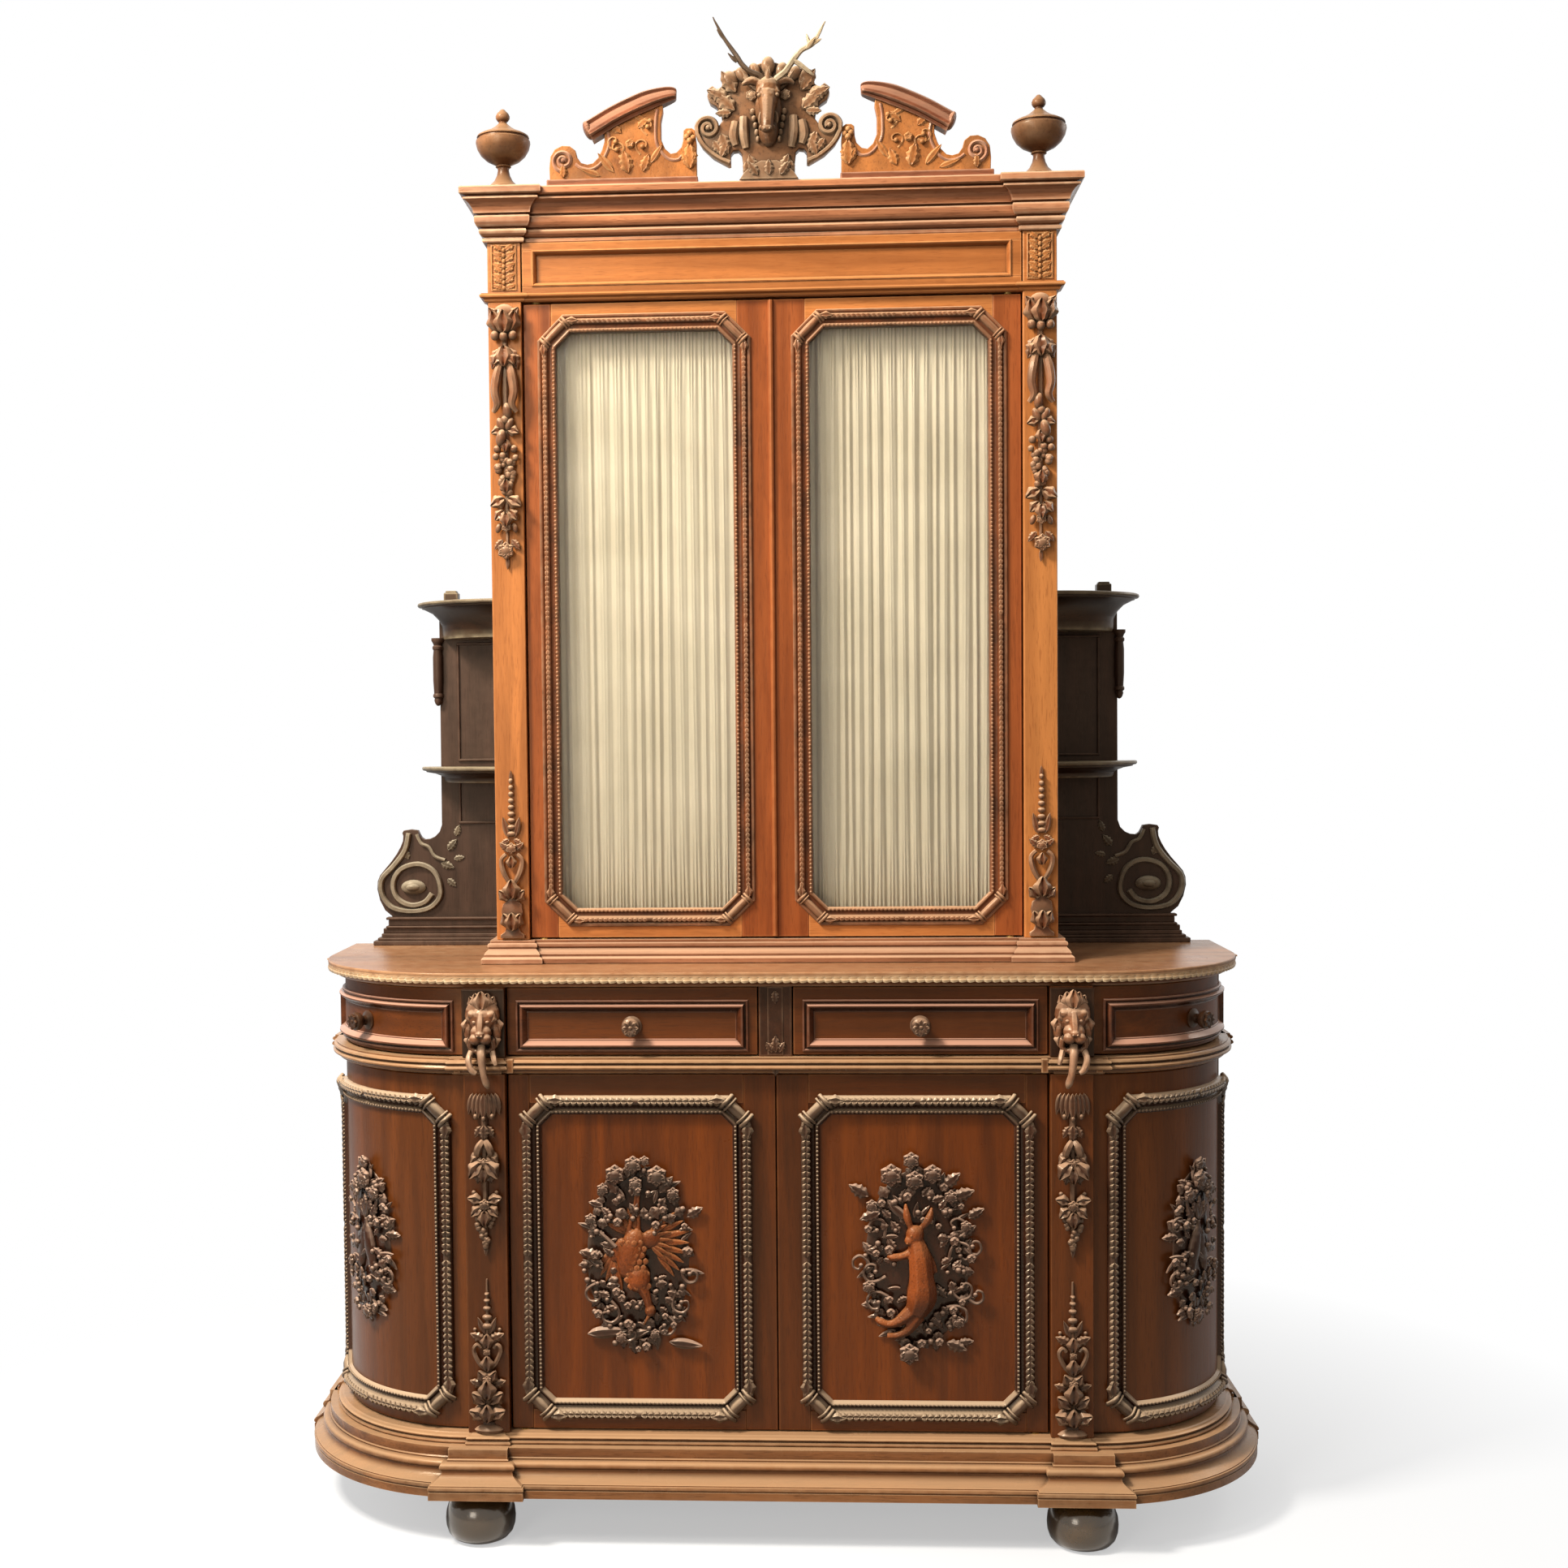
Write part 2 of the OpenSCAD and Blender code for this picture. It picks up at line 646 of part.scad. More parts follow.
// Hanging game bird in its garland
module base_door_trophy_left() color(carved) left_hand() on_panel() {
    garland(trophy_w, trophy_h);
    linear_extrude(20) {
        for (a = [-150, 150]) translate([0, -20]) leaf_shape(110, 40, a);
        for (a = [-25, 0, 25]) translate([0, -60]) leaf_shape(90, 26, a);
        translate([0, 52]) circle(r = 18);
    }
    linear_extrude(29) {
        translate([0, -10]) circle(r = 38);
        translate([0, -56]) circle(r = 26);
    }
}

module end_door_right() color(walnut) difference() {
    arc_wall(end_door_inner_r, end_r, door_free_angle, 90, door_z0, door_z1);
    pivot_holes(end_door_pivot, door_z0, door_z1);
}

module end_door_moulding_right() color(carved) {
    a0 = end_mould_in / end_r * 180 / PI;
    wa = moulding_w / end_r * 180 / PI;
    r0 = end_r + seat_gap;
    difference() {
        arc_wall(r0, r0 + moulding_t, a0, 90 - a0, mould_z0, mould_z1);
        arc_wall(r0 - 1, r0 + moulding_t + 1, a0 + wa, 90 - a0 - wa, mould_z0 + moulding_w, mould_z1 - moulding_w);
        for (far = [0, 1], low = [0, 1])
            translate([arc_x, arc_y, low > 0 ? mould_z0 : mould_z1])
                rotate([0, 0, far > 0 ? -a0 : a0 - 90]) mirror([0, far, 0]) mirror([0, 0, low])
                    translate([end_r, 0, 0]) rotate([45, 0, 0])
                        translate([-corner_cut / 2, -corner_cut / 2, -cant / 2]) cube(corner_cut);
    }
}

module end_door_trophy_right() color(carved) {
    z = (mould_z0 + mould_z1) / 2 + 10;
    w = trophy_w * 0.66;
    h = trophy_h * 0.86;
    translate([arc_x, arc_y, z]) rotate([0, 0, -45]) difference() {
        intersection() {
            cylinder(r = end_r + 26, h = 2 * h, center = true, $fn = 96);
            rotate([0, 90, 0]) rotate([0, 0, 90]) {
                translate([0, 0, end_r - 12]) linear_extrude(22) polygon([
                    for (a = [0 : 15 : 345]) [(w / 2 - 8) * sin(a), (h / 2 - 8) * cos(a)]
                ]);
                for (i = [0 : 11]) let (a = 30 * i, k = 1 + 0.12 * sin(3 * a))
                    translate([(w / 2 - 20) * sin(a), (h / 2 - 20) * cos(a), end_r - 20])
                        cylinder(r = 20 * k, h = 34);
                for (p = [[0, 40, 34], [0, -20, 40], [0, -80, 26]])
                    translate([p[0], p[1], end_r - 16]) cylinder(r = p[2], h = 42);
            }
        }
        cylinder(r = end_r + seat_gap, h = 3 * h, center = true, $fn = 96);
    }
}

// Steps round the upper cupboard: a middle run and a bolder run at each pilaster
module upper_steps(z, steps, top_step, h, back, setback) {
    n = len(steps);
    for (i = [0 : n]) let (
        z0 = rise(steps, i), hh = i < n ? steps[i][0] : h - z0, o = i < n ? steps[i][1] : top_step
    ) if (hh > 0) {
        side = upper_w / 2 + o;
        block(-side, side, upper_pil_y + setback - o, back, z + z0, z + z0 + hh);
        both() block(upper_pil_x - o, side, upper_pil_y - o, upper_pil_y + 30, z + z0, z + z0 + hh);
    }
}

// The foot moulding stops against the niche backs
module upper_foot_moulding() color(walnut) difference() {
    upper_steps(counter_top_z, upper_foot_steps, upper_foot_top_step, upper_foot_h, back_y, 8);
    both() block(upper_w / 2, upper_w / 2 + 2 * upper_foot_steps[0][1], niche_face_y - seat_gap, back_y + 1,
        counter_top_z - 1, glazed_z + 1);
}

module upper_case_boards() color(dark_walnut) {
    both() block(upper_w / 2 - board_t, upper_w / 2, upper_side_y, inner_back_y, glazed_z, cornice_z);
    inner = upper_w / 2 - board_t - seat_gap;
    block(-inner, inner, upper_side_y, inner_back_y, glazed_z, glazed_z + board_t);
    block(-inner, inner, upper_side_y, inner_back_y, frieze_z, frieze_z + board_t);
}

module upper_back_panel() color(dark_walnut)
    block(-upper_w / 2, upper_w / 2, inner_back_y, back_y, glazed_z, cornice_z);

module upper_pilasters() color(walnut) both()
    block(upper_pil_x, upper_w / 2, upper_pil_y, upper_side_y, glazed_z, frieze_z);

module upper_pilaster_carvings() color(carved) both() {
    drop(upper_pil_mid, upper_pil_y, frieze_z - 6, 462, 52);
    candelabra(upper_pil_mid, upper_pil_y, glazed_z + 4, 300, 52);
}

frieze_shelf_h = 15;
frieze_shelf_proud = 10;
frieze_panel_in = 22;
frieze_panel_d = 6;

// Frieze board with a shelf moulding under it, a sunk panel and a leaf on each end block
module frieze() color(walnut) {
    difference() {
        block(-upper_w / 2, upper_w / 2, upper_pil_y + 4, upper_side_y, frieze_z, cornice_z);
        block(frieze_panel_in - upper_pil_x, upper_pil_x - frieze_panel_in, upper_pil_y - 10,
            upper_pil_y + 4 + frieze_panel_d, frieze_z + 27, cornice_z - 14);
    }
    both() {
        block(upper_pil_x, upper_w / 2, upper_pil_y, upper_pil_y + 4, frieze_z, cornice_z);
        block(upper_pil_x + 12, upper_w / 2 - 12, upper_pil_y - 4, upper_pil_y, frieze_z + 30, cornice_z - 12);
    }
    block(-upper_w / 2 - frieze_shelf_proud, upper_w / 2 + frieze_shelf_proud,
        upper_pil_y - frieze_shelf_proud, upper_pil_y + 4, frieze_z, frieze_z + frieze_shelf_h);
}

module cornice() color(walnut) difference() {
    upper_steps(cornice_z, cornice_steps, 0, cornice_h, back_y, cornice_break);
    block(-upper_w / 2 + 60, upper_w / 2 - 60, upper_pil_y + 60, back_y - 40,
        cornice_z - 1, cornice_z + cornice_h - cornice_cavity);
}

// Half of the broken pediment: a raking rail, the stippled field under it, a block and a scroll
module pediment_half() translate([0, crest_y + crest_t, crest_z]) rotate([90, 0, 0]) {
    linear_extrude(crest_t - 6) difference() {
        polygon([[150, 0], [310, 0], [300, 78], [246, 118], [176, 146], [168, 96]]);
        translate([137, 52]) circle(r = 30);
        translate([334, 36]) circle(r = 34);
    }
    linear_extrude(crest_t + 8) polygon([
        [158, 160], [162, 132], [192, 132], [250, 106], [318, 70], [338, 94], [262, 136], [200, 162], [176, 166]
    ]);
    linear_extrude(crest_t - 4) {
        translate([126, 0]) square([28, 98]);
        difference() {
            translate([300, 0]) square([94, 22]);
            translate([334, 36]) circle(r = 30);
        }
        translate([372, 34]) circle(r = 24);
    }
}

module pediments() color(walnut) both() pediment_half();

// Lobed shield with a scalloped head and two scrolls
module crest_cartouche() color(carved) translate([0, crest_y + crest_t, crest_z]) rotate([90, 0, 0]) {
    linear_extrude(crest_t) {
        translate([-34, 0]) square([68, 60]);
        translate([0, 118]) circle(r = 76);
        for (a = [-54 : 27 : 54]) translate([72 * sin(a), 122 + 72 * cos(a)]) circle(r = 22);
        for (s = [-1, 1]) {
            translate([s * 78, 148]) circle(r = 26);
            translate([s * 94, 84]) circle(r = 32);
            translate([s * 66, 44]) circle(r = 26);
        }
    }
    linear_extrude(crest_t + 10) for (s = [-1, 1]) translate([s * 98, 88]) difference() {
        circle(r = 27);
        circle(r = 15);
    }
}

// Stag head that looks out of the shield, with its pair of antlers
module stag_head() color(carved) {
    translate([0, crest_y - seat_gap, crest_z]) intersection() {
        translate([-150, -150, 0]) cube([300, 150, 300]);
        union() {
            hull() {
                translate([0, -14, 112]) sphere(r = 26, $fn = 24);
                translate([0, -44, 62]) sphere(r = 15, $fn = 24);
                translate([0, -4, 80]) sphere(r = 4, $fn = 24);
            }
            for (s = [-1, 1]) {
                hull() {
                    translate([s * 22, -16, 124]) sphere(r = 8, $fn = 20);
                    translate([s * 46, -12, 132]) sphere(r = 4, $fn = 20);
                }
                hull() {
                    translate([s * 14, -14, 132]) sphere(r = 6, $fn = 20);
                    translate([s * 40, -16, 200]) sphere(r = 5, $fn = 20);
                }
                hull() {
                    translate([s * 40, -16, 200]) sphere(r = 5, $fn = 20);
                    translate([s * 96, -20, 278]) sphere(r = 3, $fn = 20);
                }
            }
        }
    }
}

module urn_finials() color(walnut) both() translate([urn_x, urn_y, crest_z]) rotate_extrude() polygon([
    [0, 0], [27, 0], [27, 8], [18, 14], [10, 24], [12, 34], [30, 44], [43, 62], [48, 82], [48, 94],
    [44, 98], [46, 102], [36, 110], [16, 116], [9, 122], [9, 128], [11, 134], [9, 142], [4, 147], [0, 148]
]);

// Back board of a niche, with a scroll at its foot
module niche_backs() color(niche_wood) both()
    translate([upper_w / 2, back_y, counter_top_z]) rotate([90, 0, 0]) {
        linear_extrude(niche_board_t) {
            square([niche_w, niche_top_rise]);
            square([niche_foot_w - 12, niche_foot_h]);
            difference() {
                union() {
                    translate([niche_w - 1, 0]) square([62, 150]);
                    translate([222, 112]) circle(r = 56);
                    translate([niche_w + 30, 130]) square([34, 94]);
                }
                translate([272, 200]) circle(r = 44);
                translate([170, 226]) circle(r = 34);
            }
        }
        linear_extrude(niche_board_t + niche_trim_t) {
            square([niche_foot_w, niche_foot_h - 14]);
            translate([niche_w - 24, 482]) square([26, 130]);
            translate([niche_w - 28, 612]) square([36, niche_top_rise - 612]);
        }
        linear_extrude(niche_board_t + 5) translate([216, 110]) difference() {
            circle(r = 40);
            circle(r = 30);
        }
    }

module niche_shelf_plan(w, d) {
    translate([upper_w / 2, back_y - d]) {
        square([w - d, d]);
        translate([w - d, d]) intersection() {
            circle(r = d);
            translate([-1, -d]) square([d + 1, d]);
        }
    }
}

module niche_shelves() color(niche_wood) both() {
    translate([0, 0, counter_top_z + niche_shelf_rise]) linear_extrude(board_t) difference() {
        niche_shelf_plan(niche_shelf_w, niche_shelf_d);
        translate([upper_w / 2 - 1, niche_face_y]) square([niche_w + 9, 40]);
    }
    translate([0, 0, counter_top_z + niche_top_rise]) {
        linear_extrude(niche_top_t) niche_shelf_plan(niche_shelf_w, niche_shelf_d);
        translate([upper_w / 2 + 120, back_y - 60, niche_top_t - 1]) cube([27, 27, 21]);
    }
}

upper_door_z0 = glazed_z + end_gap;
upper_door_z1 = frieze_z - end_gap;

module upper_door_frame_right() color(walnut) difference() {
    block(meet_gap, upper_door_x, upper_door_y, upper_door_y + door_t, upper_door_z0, upper_door_z1);
    canted_plate(sight_x0, sight_x1, sight_z0, sight_z1, upper_cant - 6, upper_door_y - 1, upper_door_y + door_t + 1);
    block(sight_x0 - rebate, sight_x1 + rebate, rebate_y, upper_door_y + door_t + 1,
        sight_z0 - rebate, sight_z1 + rebate);
    pivot_holes(upper_door_pivot, upper_door_z0, upper_door_z1);
}

module glazing_moulding_right() color(carved) {
    x0 = meet_gap + upper_mould_meet;
    x1 = upper_door_x - upper_mould_side;
    z0 = upper_door_z0 + upper_mould_rise;
    z1 = upper_door_z1 - upper_mould_rise;
    canted_ring(x0, x1, z0, z1, upper_cant, upper_mould_w, upper_door_y, upper_mould_t);
    for (x = [x0 + clasp, x1 - clasp], z = [z0 + clasp, z1 - clasp])
        boss(x, upper_door_y, z, clasp, upper_mould_t + 4);
}

module door_glass_right() color("lightcyan", 0.4) {
    c = rebate - seat_gap;
    block(sight_x0 - c, sight_x1 + c, rebate_y, rebate_y + glass_t, sight_z0 - c, sight_z1 + c);
}

// Front edge of a curtain at the share u of its width
function fold_y(u) = fold_d / 2 * (0.75 * sin(360 * folds * u) + 0.25 * sin(360 * (folds * 0.37 * u + 0.2)));

module curtain_right() color(cloth) {
    x0 = sight_x0 - rebate / 2;
    x1 = sight_x1 + rebate / 2;
    n = folds * 6;
    z0 = rod_z0 + rod_r + seat_gap;
    z1 = rod_z1 - rod_r - seat_gap;
    translate([0, rod_y, z0]) linear_extrude(z1 - z0) polygon(concat(
        [for (i = [0 : n]) [x0 + (x1 - x0) * i / n, fold_y(i / n) - curtain_t / 2]],
        [for (i = [n : -1 : 0]) [x0 + (x1 - x0) * i / n, fold_y(i / n) + curtain_t / 2]]
    ));
}

// Rods at the head and foot of a curtain, with an ear at each end on the back of the door
module curtain_rods_right() color(brass) for (z = [rod_z0, rod_z1]) {
    x0 = sight_x0 - rebate - rod_lap;
    x1 = sight_x1 + rebate + rod_lap;
    translate([x0, rod_y, z]) rotate([0, 90, 0]) cylinder(r = rod_r, h = x1 - x0);
    for (x = [x0, x1 - 6]) block(x, x + 6, upper_door_y + door_t, rod_y + rod_r, z - 5, z + 5);
}

module drawer_front_left() left_hand() drawer_front_right();
module drawer_box_left() left_hand() drawer_box_right();
module drawer_knob_left() left_hand() drawer_knob_right();
module end_drawer_front_left() left_hand() end_drawer_front_right();
module end_drawer_box_left() left_hand() end_drawer_box_right();
module end_drawer_knob_left() left_hand() end_drawer_knob_right();
module base_door_left() left_hand() base_door_right();
module base_door_moulding_left() left_hand() base_door_moulding_right();
module end_door_left() left_hand() end_door_right();
module end_door_moulding_left() left_hand() end_door_moulding_right();
module end_door_trophy_left() left_hand() end_door_trophy_right();
module upper_door_frame_left() left_hand() upper_door_frame_right();
module glazing_moulding_left() left_hand() glazing_moulding_right();
module door_glass_left() left_hand() door_glass_right();
module curtain_left() left_hand() curtain_right();
module curtain_rods_left() left_hand() curtain_rods_right();

bun_feet();
plinth();
base_bottom_board();
base_back_panel();
base_case_sides();
base_pilasters();
waist_moulding();
drawer_dividers();
counter_top();
shelves();
animal_masks();
base_pilaster_carvings();
door_pivot_pins();
drawer_front_left();
drawer_front_right();
drawer_box_left();
drawer_box_right();
drawer_knob_left();
drawer_knob_right();
end_drawer_front_left();
end_drawer_front_right();
end_drawer_box_left();
end_drawer_box_right();
end_drawer_knob_left();
end_drawer_knob_right();
base_door_left();
base_door_right();
base_door_moulding_left();
base_door_moulding_right();
base_door_trophy_left();
base_door_trophy_right();
end_door_left();
end_door_right();
end_door_moulding_left();
end_door_moulding_right();
end_door_trophy_left();
end_door_trophy_right();
upper_foot_moulding();
upper_case_boards();
upper_back_panel();
upper_pilasters();
upper_pilaster_carvings();
frieze();
cornice();
pediments();
crest_cartouche();
stag_head();
urn_finials();
niche_backs();
niche_shelves();
upper_door_frame_left();
upper_door_frame_right();
glazing_moulding_left();
glazing_moulding_right();
door_glass_left();
door_glass_right();
curtain_left();
curtain_right();
curtain_rods_left();
curtain_rods_right();
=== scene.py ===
"""Two-part buffet in walnut: the looks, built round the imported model.

Pieces are drawn in millimetres, front facing -Y, and brought to metres when they are finished.
"""
import json
import math
import random

import bmesh
import bpy
from mathutils import Matrix, Vector

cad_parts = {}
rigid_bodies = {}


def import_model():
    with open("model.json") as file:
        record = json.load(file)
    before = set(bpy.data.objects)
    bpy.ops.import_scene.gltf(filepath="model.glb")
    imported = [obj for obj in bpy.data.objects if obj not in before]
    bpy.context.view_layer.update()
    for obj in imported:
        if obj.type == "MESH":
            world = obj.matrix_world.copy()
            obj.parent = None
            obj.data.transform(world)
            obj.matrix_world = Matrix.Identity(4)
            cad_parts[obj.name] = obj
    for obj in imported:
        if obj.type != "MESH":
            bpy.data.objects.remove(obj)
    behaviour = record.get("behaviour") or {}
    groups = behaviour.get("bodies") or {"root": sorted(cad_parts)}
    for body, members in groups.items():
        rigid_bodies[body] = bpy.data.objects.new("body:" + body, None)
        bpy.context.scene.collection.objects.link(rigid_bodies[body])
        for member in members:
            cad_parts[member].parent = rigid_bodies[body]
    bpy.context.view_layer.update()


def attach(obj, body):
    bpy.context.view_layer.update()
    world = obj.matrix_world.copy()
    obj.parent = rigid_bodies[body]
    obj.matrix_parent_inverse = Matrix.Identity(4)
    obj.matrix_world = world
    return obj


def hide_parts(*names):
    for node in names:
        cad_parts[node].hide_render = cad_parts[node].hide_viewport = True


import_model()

# Planes and levels of the buffet, in millimetres; levels are counted from FLOOR_Z
FLOOR_Z = 36
DOOR_Y = -190
PIL_Y = -208
BACK_Y = 275
UP_DOOR_Y = -59
UP_PIL_Y = -69
UP_SIDE_Y = -20
CREST_Y = -95
ARC_X = 550
ARC_Y = 76
END_R = 266
PLINTH_Z = 128
BOTTOM_Z = 207
CUPBOARD_Z = 225
WAIST_Z = 865
DRAWER_Z = 894
COUNTER_Z = 1019
COUNTER_TOP_Z = 1046
GLAZED_Z = 1088
FRIEZE_Z = 2240
CORNICE_Z = 2345
CREST_Z = 2437
PIL_X0 = 476
PIL_X1 = 550
PIL_MID = 513
UP_PIL_X0 = 448
HALF_W = 508
UP_PIL_MID = 478
STILE_X = 824
STILE_Y = 78.5


# hand tools

def quiet():
    """Leaves edit mode with nothing selected"""
    if bpy.context.object and bpy.context.object.mode != "OBJECT":
        bpy.ops.object.mode_set(mode="OBJECT")
    bpy.ops.object.select_all(action="DESELECT")


def hold(part):
    """Makes one piece the only one selected"""
    quiet()
    part.select_set(True)
    bpy.context.view_layer.objects.active = part
    return part


def on_bench(part, kind="VERT"):
    """Opens a piece in edit mode with all of it selected"""
    hold(part)
    bpy.ops.object.mode_set(mode="EDIT")
    bpy.ops.mesh.select_mode(type=kind)
    take_all()


def off_bench():
    bpy.ops.object.mode_set(mode="OBJECT")
    return bpy.context.object


def take_all():
    bpy.ops.mesh.select_all(action="SELECT")


def closed_up():
    """Fills the open ends of the piece on the bench and turns its faces outward"""
    bpy.ops.mesh.fill_holes(sides=0)
    bpy.ops.mesh.normals_make_consistent(inside=False)
    return off_bench()


def take(test):
    """Selects the points of the open piece that pass a test on their place"""
    bpy.ops.mesh.select_mode(type="VERT")
    bpy.ops.mesh.select_all(action="DESELECT")
    mesh = bmesh.from_edit_mesh(bpy.context.object.data)
    for point in mesh.verts:
        point.select_set(test(point.co))
    mesh.select_flush_mode()
    bmesh.update_edit_mesh(bpy.context.object.data)


def keep(part, modifier):
    """Applies a modifier to a piece"""
    hold(part)
    bpy.ops.object.modifier_apply(modifier=modifier.name)


def flat_out(part):
    """Puts a piece's place, turn and size into its mesh"""
    hold(part)
    bpy.ops.object.transform_apply(location=True, rotation=True, scale=True)
    return part


def tidy_normals(part, merge=0.01):
    on_bench(part)
    bpy.ops.mesh.remove_doubles(threshold=merge)
    bpy.ops.mesh.normals_make_consistent(inside=False)
    return off_bench()


def soften(part, degrees=35):
    hold(part)
    bpy.ops.object.shade_smooth_by_angle(angle=math.radians(degrees))
    return part


def copy_of(part, matrix=None):
    """A copy with a mesh of its own, moved by a matrix"""
    twin = part.copy()
    twin.data = part.data.copy()
    bpy.context.collection.objects.link(twin)
    if matrix is not None:
        twin.data.transform(matrix)
        if matrix.determinant() < 0:
            twin.data.flip_normals()
    return twin


def gather(parts):
    """Joins pieces into the first of them"""
    quiet()
    for part in parts:
        part.select_set(True)
    bpy.context.view_layer.objects.active = parts[0]
    if len(parts) > 1:
        bpy.ops.object.join()
    return parts[0]


def scrap(*parts):
    for part in parts:
        bpy.data.objects.remove(part, do_unlink=True)


def mirrored(part):
    """The left-hand twin of a piece; made before the right one is brought to metres"""
    return copy_of(part, Matrix.Scale(-1, 4, (1, 0, 0)))


def both_sides(part):
    return gather([part, mirrored(part)])


def move(x=0, y=0, z=0):
    return Matrix.Translation((x, y, z))


def turn(degrees, axis):
    return Matrix.Rotation(math.radians(degrees), 4, axis)


def size(x, y=None, z=None):
    return Matrix.Diagonal((x, y if y is not None else x, z if z is not None else x, 1))


def board(x0, x1, y0, y1, z0, z1, ease=1.2):
    """A board with eased edges"""
    quiet()
    bpy.ops.mesh.primitive_cube_add(size=1, location=((x0 + x1) / 2, (y0 + y1) / 2, (z0 + z1) / 2))
    part = bpy.context.object
    part.scale = (x1 - x0, y1 - y0, z1 - z0)
    flat_out(part)
    on_bench(part, "EDGE")
    bpy.ops.mesh.bevel(offset=ease, segments=2, affect="EDGES")
    off_bench()
    return margined(part)


def margined(part, width=2.2):
    """Scribes a narrow margin inside each broad face, so that only its rim counts as an edge"""
    on_bench(part, "FACE")
    mesh = bmesh.from_edit_mesh(part.data)
    for face in mesh.faces:
        face.select_set(face.calc_area() > 60 and min(e.calc_length() for e in face.edges) > 3 * width)
    bmesh.update_edit_mesh(part.data)
    bpy.ops.mesh.inset(thickness=width, use_individual=True)
    return off_bench()


def flanked(section, width=1.5):
    """A section with extra points beside the ends of its long sides"""
    points = []
    for a, b in zip(section, section[1:] + section[:1]):
        points.append(a)
        length = math.hypot(b[0] - a[0], b[1] - a[1])
        if length > 3.4 * width:
            for t in (width / length, 1 - width / length):
                points.append((a[0] + (b[0] - a[0]) * t, a[1] + (b[1] - a[1]) * t))
    return points


def ruled(lines, dimensions="3D", closed=False, radii=(), **settings):
    """A curve through lists of points in X and Y, or in X, Y and Z, with its settings"""
    quiet()
    curve = bpy.data.curves.new("line", "CURVE")
    curve.dimensions = dimensions
    for key, value in settings.items():
        setattr(curve, key, value)
    for points in lines:
        line = curve.splines.new("POLY")
        line.points.add(len(points) - 1)
        line.use_cyclic_u = closed
        for spot, co in zip(line.points, points):
            spot.co = (*co, 0, 1) if len(co) == 2 else (*co, 1)
        for spot, r in zip(line.points, radii):
            spot.radius = r
    part = bpy.data.objects.new("line", curve)
    bpy.context.collection.objects.link(part)
    return part


def meshed(part):
    """Makes a drawn curve a mesh"""
    hold(part)
    bpy.ops.object.convert(target="MESH")
    return bpy.context.object


def drawn_line(points, closed=False):
    """A thin line through points in space, as mesh edges"""
    return meshed(ruled([points], closed=closed))


def cut_out(outlines, thick, ease=1.0, y=0, rounds=1):
    """A plate sawn to outlines in X and Z; its back lies on the plane y and its edges are eased"""
    part = meshed(ruled(outlines, "2D", True, fill_mode="BOTH", extrude=thick / 2 - ease, bevel_depth=ease,
            bevel_resolution=rounds, offset=-ease))
    part.data.transform(move(0, y - thick / 2) @ turn(90, "X"))
    return tidy_normals(part)


def rounded_line(points, steps=6, closed=True):
    """Points on a smooth curve through the given points"""
    n = len(points)
    smooth = []
    for i in range(n if closed else n - 1):
        p = [Vector(points[(i + k - 1) % n] if closed else points[min(max(i + k - 1, 0), n - 1)]) for k in range(4)]
        for s in range(steps):
            t = s / steps
            smooth.append(tuple(0.5 * (2 * p[1] + (p[2] - p[0]) * t + (2 * p[0] - 5 * p[1] + 4 * p[2] - p[3]) * t * t +
                    (3 * p[1] - p[0] - 3 * p[2] + p[3]) * t ** 3)))
    if not closed:
        smooth.append(tuple(points[-1]))
    return smooth


def turned(profile, centre=(0, 0, 0), steps=40, degrees=35):
    """A turned piece: a profile of radius and height, spun round its axis"""
    part = drawn_line([(r, 0, z) for r, z in profile])
    on_bench(part)
    bpy.ops.mesh.spin(steps=steps, angle=2 * math.pi, center=(0, 0, 0), axis=(0, 0, 1))
    take_all()
    bpy.ops.mesh.remove_doubles(threshold=0.02)
    closed_up()
    part.data.transform(move(*centre))
    return soften(part, degrees)


def run_of(section, a, b, up, bevel_a, bevel_b):
    """One straight length of moulding from a to b, its ends cut by planes that face bevel_a and bevel_b"""
    a, b, up = Vector(a), Vector(b), Vector(up)
    along = (b - a).normalized()
    out = along.cross(up)
    reach = along * 160
    part = drawn_line([a - reach + out * o + up * u for o, u in section], True)
    on_bench(part)
    bpy.ops.mesh.extrude_region_move(TRANSFORM_OT_translate={"value": b - a + 2 * reach})
    for at, facing, inner in ((a, Vector(bevel_a), True), (b, Vector(bevel_b), False)):
        take_all()
        bpy.ops.mesh.bisect(plane_co=at, plane_no=facing, clear_inner=inner, clear_outer=not inner)
    if (b - a).length > 9:
        for at, facing in ((a + along * 3, bevel_a), (b - along * 3, bevel_b)):
            take_all()
            bpy.ops.mesh.bisect(plane_co=at, plane_no=facing)
    return off_bench()


